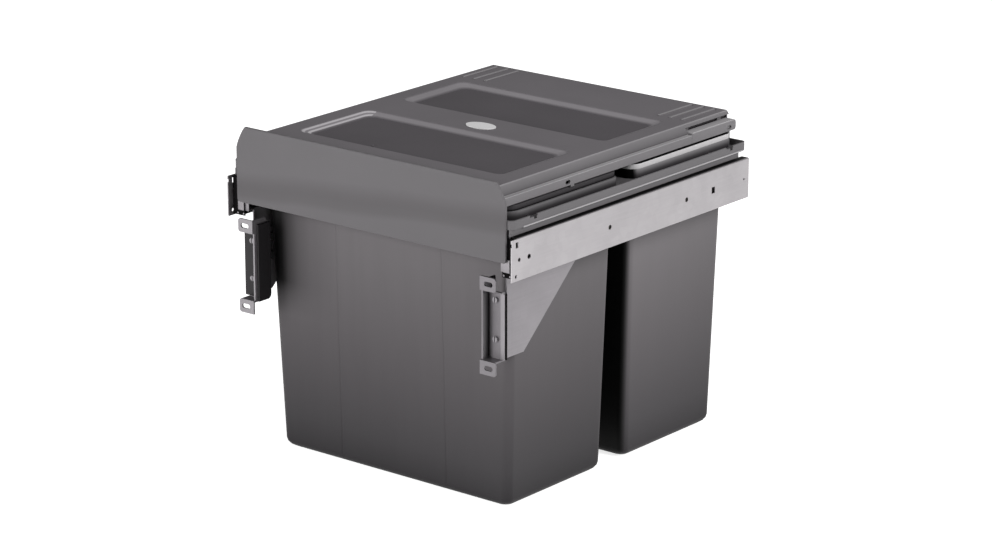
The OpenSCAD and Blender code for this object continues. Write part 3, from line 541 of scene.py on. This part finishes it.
def zinc_steel(name, code, roughness, crystal_mm, contrast, lit_from_x=0.0):
    """Zinc on rolled steel: crystals, lines, and painted shade on the side nearer the middle,
    if a distance for it is given.
    """
    material, tree, shader = new_material(name, Metallic=1.0)
    place = add(tree, "TexCoord").outputs["Object"]
    crystals = add(tree, "TexVoronoi", {"Scale": 1000 / crystal_mm}, {"Vector": place})
    patch = add(tree, "SeparateColor", links={"Color": crystals.outputs["Color"]})
    shade = add(tree, "MapRange", {"To Min": 1 - contrast, "To Max": 1 + contrast},
                {"Value": patch.outputs["Red"]})
    stain = add(tree, "TexNoise", {"Scale": 1000 / STAIN_MM, "Detail": 2.0}, {"Vector": place})
    drift = add(tree, "MapRange", {"From Min": STAIN_FROM, "From Max": STAIN_TO,
                                   "To Min": STAIN_TONE[0], "To Max": STAIN_TONE[1]},
                {"Value": stain.outputs["Fac"]})
    tone = add(tree, "Math", links={0: shade.outputs["Result"], 1: drift.outputs["Result"]},
               operation="MULTIPLY")
    # Painted shade: nearer the middle than the given distance, the tone drops almost to black.
    if lit_from_x:
        along = add(tree, "SeparateXYZ", links={"Vector": place}).outputs["X"]
        side = add(tree, "Math", links={0: along}, operation="ABSOLUTE")
        lit_part = add(tree, "MapRange", {"From Min": lit_from_x - SHADE_BLEND,
                                       "From Max": lit_from_x, "To Min": INSIDE_SHADE_TONE},
                    {"Value": side.outputs[0]})
        tone = add(tree, "Math", links={0: tone.outputs[0], 1: lit_part.outputs["Result"]},
                   operation="MULTIPLY")
    colour = add(tree, "VectorMath", {0: linear(code)[:3]}, {1: tone.outputs[0]},
                 operation="MULTIPLY")
    drawn = add(tree, "Mapping", {"Scale": (1.0, LINE_STRETCH, 1.0)}, {"Vector": place})
    lines = add(tree, "TexNoise", {"Scale": 1000 / LINE_MM, "Detail": 2.0},
                {"Vector": drawn.outputs["Vector"]}).outputs["Fac"]
    sheen = add(tree, "MapRange", {"To Min": roughness - STEEL_SHEEN,
                                   "To Max": roughness + STEEL_SHEEN}, {"Value": lines})
    bump = add(tree, "Bump", {"Strength": LINE_STRENGTH, "Distance": LINE_DEPTH_MM / 1000},
               {"Height": lines})
    link_surface(tree, shader, colour.outputs["Vector"], sheen.outputs["Result"],
                 bump.outputs["Normal"])
    return material


print("rolling lines", LINE_MM, "mm apart")

# %% Steels
RAIL_SKIN = 0.0022
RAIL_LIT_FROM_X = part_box("cabinet_rail_right")[1][0] - RAIL_SKIN

# A pale, matt silver with faint crystals, and painted shade that makes it black inside the
# rail.
galvanised = zinc_steel(
    "galvanised_rolled_steel", "#a19ea0", 0.5, 10.0, 0.02, lit_from_x=RAIL_LIT_FROM_X)
# A middle grey without a pattern, matt like chalk.
plated = zinc_steel("zinc_plated_steel", "#878487", 0.55, 5.0, 0.012)
# The same, but a shade darker, as painted shade on the right door bracket.
plated_painted_shade = zinc_steel("zinc_plated_steel_painted_shade", "#737073", 0.55, 5.0, 0.012)
# Nearly white, with a clear shine.
bright = zinc_steel("bright_fastener_steel", "#cfcfd1", 0.3, 3.0, 0.01)
# Dark, as painted shade inside the slides, with a narrow shine.
shade_dark_steel = zinc_steel("dark_rolled_steel_painted_shade", "#3c3a3b", 0.4, 10.0, 0.04)
# Dark too, as painted shade inside the slides, with the warmer tone of thin strip.
strip_steel = zinc_steel("dark_strip_steel_painted_shade", "#4a4844", 0.4, 5.0, 0.02)
print("steels made")

# %% [markdown]
# ## Working on a copy of a CAD solid
#
# A CAD node may not be changed, so a piece that needs softer edges starts from a copy
# of its mesh. It could be modelled again from nothing, but a copy keeps the exact size.
# The copy's loose triangles are merged and flat areas are joined to whole faces. Points,
# edges or faces are then chosen in code, by their place or by the angle between faces,
# and shaped as one would do by hand. A bevel modifier takes the rest of the edges.

# %% Choosing and copying
MERGE_M = 2e-6
FLAT_ANGLE = math.radians(0.4)


def choose(piece):
    """Makes a piece the only selected and active object."""
    bpy.ops.object.select_all(action="DESELECT")
    piece.select_set(True)
    bpy.context.view_layer.objects.active = piece


def copy_of(node, name):
    """A new piece with the merged mesh of a CAD node."""
    mesh = cad[node].data.copy()
    mesh.name = name
    mesh.materials.clear()
    piece = bpy.data.objects.new(name, mesh)
    bpy.context.scene.collection.objects.link(piece)
    choose(piece)
    bpy.ops.mesh.customdata_custom_splitnormals_clear()
    bpy.ops.object.mode_set(mode="EDIT")
    bpy.ops.mesh.select_all(action="SELECT")
    bpy.ops.mesh.remove_doubles(threshold=MERGE_M)
    bpy.ops.mesh.dissolve_limited(angle_limit=FLAT_ANGLE)
    bpy.ops.object.mode_set(mode="OBJECT")
    return piece


def twin_of(piece, name, shift):
    """A copy of a made piece, with a mesh of its own, moved by a shift."""
    choose(piece)
    bpy.ops.object.duplicate(linked=False)
    twin = bpy.context.object
    twin.name = name
    bpy.ops.transform.translate(value=shift)
    bpy.ops.object.transform_apply(location=True, rotation=True, scale=True)
    return twin


print("points closer than", MERGE_M, "m are merged")

# %% Selecting and bevelling
SHARP_DEG = 60
NEAR = 0.0001


def select_where(piece, kind, test):
    """In edit mode, selects the points, edges or faces that pass a test; gives their number."""
    bpy.ops.mesh.select_mode(type=kind)
    bpy.ops.mesh.select_all(action="DESELECT")
    shape = bmesh.from_edit_mesh(piece.data)
    shape.normal_update()
    elements = {"VERT": shape.verts, "EDGE": shape.edges, "FACE": shape.faces}[kind]
    passed = [element for element in elements if test(element)]
    for element in passed:
        element.select = True
    bmesh.update_edit_mesh(piece.data)
    return len(passed)


def bevel_where(piece, test, width_mm, segments):
    """Bevels the edges that pass a test on their two ends and the angle across them."""
    def passes(edge):
        return len(edge.link_faces) == 2 and test(
            edge.verts[0].co, edge.verts[1].co, math.degrees(edge.calc_face_angle(0.0)))

    choose(piece)
    bpy.ops.object.mode_set(mode="EDIT")
    count = select_where(piece, "EDGE", passes)
    if count:
        bpy.ops.mesh.bevel(offset=width_mm / 1000, offset_type="OFFSET", segments=segments,
                           affect="EDGES", clamp_overlap=True)
    bpy.ops.object.mode_set(mode="OBJECT")
    return count


print("an edge counts as sharp from", SHARP_DEG, "degrees")

# %% Softening edges
SOFT_ANGLE = math.radians(35)
SMOOTH_ANGLE = math.radians(38)


def soften(piece, width_mm, segments=2):
    """Rounds every edge sharper than the soft angle, then shades the piece smooth."""
    choose(piece)
    bevel = piece.modifiers.new("soft_edges", "BEVEL")
    bevel.width = width_mm / 1000
    bevel.segments = segments
    bevel.limit_method = "ANGLE"
    bevel.angle_limit = SOFT_ANGLE
    bpy.ops.object.modifier_apply(modifier=bevel.name)
    bpy.ops.object.shade_smooth_by_angle(angle=SMOOTH_ANGLE)
    flatten = piece.modifiers.new("flat_faces_stay_flat", "WEIGHTED_NORMAL")
    flatten.keep_sharp = True
    flatten.weight = 100
    bpy.ops.object.modifier_apply(modifier=flatten.name)


print("edges are softened from", round(math.degrees(SOFT_ANGLE)), "degrees")

# %% Placing a piece
def place_piece(piece, body, slot, finish, *stands_for):
    """Gives a piece its finish and its body, and hides the CAD nodes it stands for."""
    piece.data.materials.clear()
    piece.data.materials.append(finish)
    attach(piece, body)
    for node in stands_for:
        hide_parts(node)
    print(piece.name, len(piece.data.polygons), "faces")


# %% [markdown]
# ## Front panel
#
# The panel is an injection moulding nearly three millimetres thick. Its front edge is
# rounded over almost half of that, which shows as a pale line along the top and the
# right-hand corner. One bevel on all edges could not do both, so a wide one comes first
# on the outline, and a finer one on the rest.

# %% Front panel
PANEL_FACE_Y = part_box("front_panel")[0][1]
PANEL_ROUND_MM, PANEL_EDGE_MM = 1.2, 0.4


def on_outline(a, b, angle):
    """The sharp edges around the panel's front face."""
    return angle > SHARP_DEG and max(a.y, b.y) < PANEL_FACE_Y + NEAR


panel = copy_of("front_panel", "front_panel_moulding")
print("panel outline edges:", bevel_where(panel, on_outline, PANEL_ROUND_MM, 4))
soften(panel, PANEL_EDGE_MM)
place_piece(panel, "frame", "panel_plastic", panel_plastic, "front_panel")

# %% [markdown]
# ## Lid
#
# The lid's fields have gentle edges, so those shallow creases get a wide bevel of
# their own before the outer edges are rounded. The mould's gate leaves a small pip on
# the floor of the front field. It could be a mark in the finish, but a disc with a dished
# top catches the light by itself.

# %% Lid
CREASE_DEG = (11, 34)
FIELD_ROUND_MM, LID_EDGE_MM = 2.0, 0.5
FIELD_FLOOR_Z = LID_TOP - FIELD_DEPTH


def field_edge(a, b, angle):
    """The shallow creases around the sunken fields."""
    shallow = CREASE_DEG[0] < angle < CREASE_DEG[1]
    return shallow and min(a.z, b.z) > FIELD_FLOOR_Z - 3 * NEAR


lid = copy_of("lid_cover", "lid_moulding")
print("field edges:", bevel_where(lid, field_edge, FIELD_ROUND_MM, 3))
soften(lid, LID_EDGE_MM)
place_piece(lid, "lid", "lid_plastic", lid_plastic, "lid_cover")

# %% Gate pip
PIP_AT = (-0.050, -0.1455)
PIP_R_MM, PIP_MM = 2.0, 1.2
PIP_LIP_MM, PIP_DISH_MM = 0.6, 0.4
UPWARD = 0.9


def faces_up(face):
    """Faces that lie flat and look up."""
    return face.normal.z > UPWARD


bpy.ops.object.select_all(action="DESELECT")
bpy.ops.mesh.primitive_cylinder_add(
    vertices=24, radius=PIP_R_MM / 1000, depth=PIP_MM / 1000, location=(*PIP_AT, FIELD_FLOOR_Z))
pip = bpy.context.object
pip.name = "gate_pip"
bpy.ops.object.mode_set(mode="EDIT")
select_where(pip, "FACE", faces_up)
bpy.ops.mesh.inset(thickness=PIP_LIP_MM / 1000, depth=-PIP_DISH_MM / 1000)
bpy.ops.object.mode_set(mode="OBJECT")
bpy.ops.object.transform_apply(location=True, rotation=True, scale=True)
place_piece(pip, "lid", "lid_plastic", lid_plastic)

# %% [markdown]
# ## Hinge arms
#
# Each arm is a solid bar with eased edges, paler than the lid along its top, where a highlight
# is painted. Its upper rear corner is rounded like the boss below it. The left arm could be a
# mirrored right one, but both exist in the CAD model, so each is copied from there.

# %% Hinge arms
ARM_ROUND_MM, ARM_EDGE_MM = 2.5, 0.6
CROSS_EDGE, TOP_REACH, REAR_REACH = 0.003, 0.003, 0.006
for side in ("left", "right"):
    rear_y, top_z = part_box("hinge_arm_" + side)[1][1:]

    def rear_top(a, b, angle):
        """The cross edge at the arm's upper rear corner."""
        crosswise = angle > SHARP_DEG and abs(a.x - b.x) > CROSS_EDGE
        return (crosswise and min(a.z, b.z) > top_z - TOP_REACH
                and min(a.y, b.y) > rear_y - REAR_REACH)

    arm = copy_of("hinge_arm_" + side, "hinge_arm_bar_" + side)
    print("rounded corners:", bevel_where(arm, rear_top, ARM_ROUND_MM, 4))
    soften(arm, ARM_EDGE_MM, 3)
    place_piece(arm, "lid", "panel_plastic", arm_plastic, "hinge_arm_" + side)

# %% [markdown]
# ## Tray and bag rings
#
# The tray is a thin-walled moulding with crisp edges. Along the foot of each side wall runs a
# half-round bead, whose pale tone is a painted highlight. The bag rings are thick bands whose
# upper edges are rounded, so that a bag slides over them. The dark front ring carries painted
# shade from the lid's flange, blackest at its foot. The pale one has a channel on top. It could
# be cut with a Boolean, but an inset by the width of a lip, sunk in the same step, leaves
# cleaner edges. A copy of the channel's floor, thickened, is a black strip of painted shade, so
# that the gap below the lid looks black.

# %% Tray
TRAY_EDGE_MM = 0.35
tray = copy_of("tray_frame", "tray_moulding")
soften(tray, TRAY_EDGE_MM)
place_piece(tray, "frame", "tray_plastic", tray_plastic, "tray_frame")

# %% Channel of the pale ring
CHANNEL_LIP_MM, CHANNEL_MM, SHADE_STRIP_MM, SHADE_STRIP_EDGE_MM = 1.2, 1.5, 0.6, 0.15


def cut_channel(ring, ring_top):
    """Sinks a channel into a ring's top and gives a black strip of painted shade that lies in
    it.
    """
    def on_top(face):
        return faces_up(face) and face.calc_center_median().z > ring_top - NEAR

    choose(ring)
    bpy.ops.object.mode_set(mode="EDIT")
    select_where(ring, "FACE", on_top)
    bpy.ops.mesh.inset(thickness=CHANNEL_LIP_MM / 1000, depth=-CHANNEL_MM / 1000)
    bpy.ops.mesh.duplicate()
    bpy.ops.mesh.separate(type="SELECTED")
    bpy.ops.object.mode_set(mode="OBJECT")
    strip = next(thing for thing in bpy.context.selected_objects if thing is not ring)
    strip.name = "ring_channel_shade_strip"
    choose(strip)
    thick = strip.modifiers.new("strip_thickness", "SOLIDIFY")
    thick.thickness, thick.offset = SHADE_STRIP_MM / 1000, 1.0
    bpy.ops.object.modifier_apply(modifier=thick.name)
    soften(strip, SHADE_STRIP_EDGE_MM)
    return strip


print("channel", CHANNEL_MM, "mm deep, grip strip", SHADE_STRIP_MM, "mm thick")

# %% Bag rings
RING_EDGE_MM = 0.3
for node, slot, finish, round_mm in (("front_bag_ring", "tray_plastic", ring_shade_plastic, 1.8),
                                     ("rear_bag_ring", "pale_plastic", pale_plastic, 0.5)):
    ring_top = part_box(node)[1][2]

    def upper(a, b, angle):
        """The sharp edges of the ring's top."""
        return angle > SHARP_DEG and min(a.z, b.z) > ring_top - NEAR

    ring = copy_of(node, node + "_band")
    # The pale ring's channel gets a black strip of painted shade.
    if node == "rear_bag_ring":
        painted_shade = cut_channel(ring, ring_top)
        place_piece(painted_shade, "frame", "black_plastic", black_plastic)
    print("ring edges:", bevel_where(ring, upper, round_mm, 4))
    soften(ring, RING_EDGE_MM)
    place_piece(ring, "frame", slot, finish, node)

# %% Tray beads
BEAD_R_MM, BEAD_EDGE_MM = 0.9, 0.5
BEAD_Z, BEAD_FRONT_IN, BEAD_REAR_IN = 0.3389, 0.019, 0.007
tray_low, tray_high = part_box("tray_frame")
bead_from, bead_to = tray_low[1] + BEAD_FRONT_IN, tray_high[1] - BEAD_REAR_IN

bpy.ops.object.select_all(action="DESELECT")
bpy.ops.mesh.primitive_cylinder_add(
    vertices=16, radius=BEAD_R_MM / 1000, depth=bead_to - bead_from,
    location=(tray_low[0], (bead_from + bead_to) / 2, BEAD_Z), rotation=(math.pi / 2, 0, 0))
left_bead = bpy.context.object
left_bead.name = "tray_bead_left"
bpy.ops.object.transform_apply(location=True, rotation=True, scale=True)
soften(left_bead, BEAD_EDGE_MM, 3)
right_bead = twin_of(left_bead, "tray_bead_right", (tray_high[0] - tray_low[0], 0, 0))
for bead in (left_bead, right_bead):
    place_piece(bead, "frame", "tray_plastic", bead_plastic)

# %% [markdown]
# ## Buckets
#
# The front wall of the front bucket is drawn by the cooling plastic into two faint
# vertical creases. A bump in the finish could draw them, but a real crease also shows
# from the side. Each is made by three cuts close together, after which the middle row of
# points on the outer wall is pushed in by almost a millimetre.

# %% Buckets
CREASE_XS = (-0.0765, 0.0795)
CREASE_HALF, CREASE_DEPTH, CREASE_TOP_Z = 0.0022, 0.0009, 0.342
ON_CUT, FRONTWARD, UPRIGHT = 1e-5, -0.9, 0.2
BUCKET_EDGE_MM = 0.5

shells = {node: copy_of(node, node + "_shell") for node in ("front_bucket", "rear_bucket")}
front_shell = shells["front_bucket"]
choose(front_shell)
bpy.ops.object.mode_set(mode="EDIT")
for crease_x in CREASE_XS:
    for offset in (-CREASE_HALF, 0.0, CREASE_HALF):
        bpy.ops.mesh.select_all(action="SELECT")
        bpy.ops.mesh.bisect(plane_co=(crease_x + offset, 0, 0), plane_no=(1, 0, 0))

    def in_crease(point):
        """The middle row of points, on the outer face of the front wall."""
        in_front = any(face.normal.y < FRONTWARD and abs(face.normal.z) < UPRIGHT
                       for face in point.link_faces)
        return in_front and abs(point.co.x - crease_x) < ON_CUT and point.co.z < CREASE_TOP_Z

    print("crease points:", select_where(front_shell, "VERT", in_crease))
    bpy.ops.transform.translate(value=(0, CREASE_DEPTH, 0))
bpy.ops.object.mode_set(mode="OBJECT")
for node, shell in shells.items():
    soften(shell, BUCKET_EDGE_MM)
    place_piece(shell, "frame", "bucket_plastic", bucket_plastic, node)

# %% [markdown]
# ## Slides
#
# Roll forming leaves round bends along the cabinet rails, so their long outer edges get
# a wide bevel, and cut edges are only broken. One bevel for all would make the screw
# holes look worn. Two small rivets hold each black buffer: one is a flattened ball, and
# the others are copies of it.

# %% Cabinet rails
RAIL_BEND_MM, RAIL_EDGE_MM = 1.6, 0.15
LONG_EDGE = 0.3
for side in ("left", "right"):
    low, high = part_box("cabinet_rail_" + side)
    outer = max(abs(low[0]), abs(high[0]))

    def long_bend(a, b, angle):
        """The long edges of the rail's outer face."""
        long = angle > SHARP_DEG and abs(a.y - b.y) > LONG_EDGE
        return long and min(abs(a.x), abs(b.x)) > outer - NEAR

    rail = copy_of("cabinet_rail_" + side, "cabinet_rail_strip_" + side)
    print("rail bends:", bevel_where(rail, long_bend, RAIL_BEND_MM, 4))
    soften(rail, RAIL_EDGE_MM)
    place_piece(rail, "cabinet_rails", "galvanised_steel", galvanised, "cabinet_rail_" + side)

# %% Buffer rivets
RIVET_R_MM, RIVET_FLAT = 1.3, 0.5
RIVET_XS, RIVET_UP = (0.1915, 0.2002), 0.0022
spots = {}
for side, sign in (("left", -1), ("right", 1)):
    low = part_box("slide_buffer_" + side)[0]
    for row, x in enumerate(RIVET_XS):
        name = "buffer_rivet_%s_%d" % (side, row + 1)
        spots[name] = Vector((sign * x, low[1], low[2] + RIVET_UP))

first, *others = spots
bpy.ops.object.select_all(action="DESELECT")
bpy.ops.mesh.primitive_uv_sphere_add(
    segments=16, ring_count=8, radius=RIVET_R_MM / 1000, location=spots[first])
rivet = bpy.context.object
rivet.name = first
bpy.ops.transform.resize(value=(1.0, RIVET_FLAT, 1.0))
bpy.ops.object.transform_apply(location=True, rotation=True, scale=True)
bpy.ops.object.shade_smooth()
rivets = [rivet] + [twin_of(rivet, name, spots[name] - spots[first]) for name in others]
for rivet in rivets:
    place_piece(rivet, "frame", "bright_steel", plated)

# %% [markdown]
# ## Brackets
#
# The brackets are bent from two-millimetre sheet, so their edges are only broken. The black
# cover of the adjuster is a moulding with rounder edges. The right-hand door bracket has a
# darker zinc, as painted shade, and behind its upper slot the wall slopes down. A second sheet
# could stand there, but the bracket is one folded piece: its mesh is cut just behind the slot's
# tab, and the corners of the wall's top are pulled lower.

# %% Sloping wall
TAB_BACK, WALL_BACK = 0.0022, 0.015
WALL_TOP, WALL_DROP = 0.0065, 0.007


def lower_wall(sheet):
    """Cuts the right door bracket behind its upper tab and pulls down the wall's top."""
    low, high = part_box("door_bracket_right")

    def wall_corner(point):
        return point.co.y > low[1] + WALL_BACK and point.co.z > high[2] - WALL_TOP

    choose(sheet)
    bpy.ops.object.mode_set(mode="EDIT")
    bpy.ops.mesh.select_all(action="SELECT")
    bpy.ops.mesh.bisect(plane_co=(0, low[1] + TAB_BACK, 0), plane_no=(0, 1, 0))
    print("wall corners:", select_where(sheet, "VERT", wall_corner))
    bpy.ops.transform.translate(value=(0, 0, -WALL_DROP))
    bpy.ops.object.mode_set(mode="OBJECT")


print("the wall drops by", WALL_DROP)

# %% Brackets and covers
# Each row is a stem of names, a finish, its slot and the width of the broken edge.
BRACKETS = (("support_bracket", plated, "zinc_steel", 0.35),
            ("support_gusset", plated, "zinc_steel", 0.35),
            ("door_bracket", plated, "zinc_steel", 0.45),
            ("bracket_angle", plated, "zinc_steel", 0.35),
            ("adjuster_cover", dark_plastic, "dark_plastic", 0.8))
for stem, finish, slot, edge_mm in BRACKETS:
    for side in ("left", "right"):
        node = stem + "_" + side
        sheet = copy_of(node, stem + "_sheet_" + side)
        if node == "door_bracket_right":
            lower_wall(sheet)
            # The right door bracket takes the darker zinc as painted shade in its channel.
            finish = plated_painted_shade
        soften(sheet, edge_mm)
        place_piece(sheet, "frame", slot, finish, node)

# %% [markdown]
# Thin strips finish the brackets. A dark liner lies on the inner face of each door bracket's
# wall, as painted shade that deepens towards the back. On the right, the edge of the channel
# that the adjuster runs in is folded outward to a narrow flange, with a black strip of painted
# shade behind its outer edge. On the left, a black sheet of painted shade covers the channel's
# floor instead. A small tab at the front of each slide holds the black buffer. All of them
# could be solids of the CAD model, but they are only thin trim, so each is a block at its size
# and place, with broken edges.

# %% Making a strip
STRIP_EDGE_MM, FINE_EDGE_MM, FINE = 0.3, 0.1, 0.0006


def make_strip(name, place, size, slot, finish):
    """A flat strip of sheet or plastic that rides on the frame."""
    bpy.ops.object.select_all(action="DESELECT")
    bpy.ops.mesh.primitive_cube_add(size=1.0, location=place)
    strip = bpy.context.object
    strip.name = name
    bpy.ops.transform.resize(value=size)
    bpy.ops.object.transform_apply(location=True, rotation=True, scale=True)
    soften(strip, STRIP_EDGE_MM if min(size) > FINE else FINE_EDGE_MM)
    place_piece(strip, "frame", slot, finish)


print("strips thinner than", FINE, "get the finer edge")

# %% Liners and strips of painted shade, flange and tabs
WALL_MM, LINER_MM = 2.0, 0.7
LINER_BACK, LINER_Z, LINER_WIDE, LINER_TALL = 0.0085, 0.2265, 0.0105, 0.0735
CHANNEL_FOOT = 0.1885
# Each row is a stem, a distance from the middle, a place along Y, width, thickness,
# slot and finish.
# The left liner and the right strip behind the flange are black sheets of painted shade; the
# flange is plain sheet.
CHANNEL_STRIPS = {
    "left": [("channel_shade_liner", 0.1818, -0.2087, 0.0215, 0.0005, "dark_plastic", dark_plastic)],
    "right": [("channel_flange", 0.1889, -0.2090, 0.0058, 0.0010, "zinc_steel", plated),
              ("flange_shade_strip", 0.1921, -0.20725, 0.0018, 0.0025, "dark_plastic",
               black_plastic)]}
TAB_X, TAB_Y, TAB_Z = 0.1953, -0.21085, 0.2966
TAB_SIZE = (0.0088, 0.0004, 0.0146)

for side, sign in (("left", -1), ("right", 1)):
    low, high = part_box("door_bracket_" + side)
    liner_x = min(abs(low[0]), abs(high[0])) + WALL_MM / 1000 + LINER_MM / 2000
    # Each liner is a dark sheet of painted shade on the wall's inner face.
    make_strip("adjuster_shade_liner_" + side, (sign * liner_x, low[1] + LINER_BACK, LINER_Z),
               (LINER_MM / 1000, LINER_WIDE, LINER_TALL), "dark_plastic", liner_plastic)
    web_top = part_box("bracket_angle_" + side)[1][2]
    middle, tall = (CHANNEL_FOOT + web_top) / 2, web_top - CHANNEL_FOOT
    for stem, x, y, wide, thick, slot, finish in CHANNEL_STRIPS[side]:
        make_strip(stem + "_" + side, (sign * x, y, middle), (wide, thick, tall), slot, finish)
    make_strip("rail_end_tab_" + side, (sign * TAB_X, TAB_Y, TAB_Z), TAB_SIZE,
               "galvanised_steel", plated)

# %% [markdown]
# ## Finishes of the CAD solids that stay
#
# Small fasteners, balls, cages and the inner rails are right as they are. They could be copied
# and rounded too, but it would not show at their size, so they only get a finish. The middle
# and inner rails and the ball cages are dark as painted shade inside the slides, and the black
# of the buffers also stands in for the shade at the slides' front ends.

# %% Finishes of the rest
# The dark steels of the inner parts are painted shade inside the slides, and the buffers' black
# also stands in for shade at the slides' fronts.
REST = [(shade_dark_steel, ("middle_rail_", "inner_rail_")),
        (strip_steel, ("outer_ball_cage_", "inner_ball_cage_")),
        (bright, ("outer_balls_", "inner_balls_", "slide_rivets", "bracket_bolts",
                  "tray_screws", "panel_screws", "hinge_pins")),
        (plated, ("adjusting_screws",)),
        (black_plastic, ("slide_buffer_",)),
        (badge_plastic, ("lid_badge",))]
finished = 0
for finish, stems in REST:
    for name, thing in cad.items():
        if name.startswith(stems):
            thing.data.materials.clear()
            thing.data.materials.append(finish)
            finished += 1
print("CAD solids with a finish:", finished)
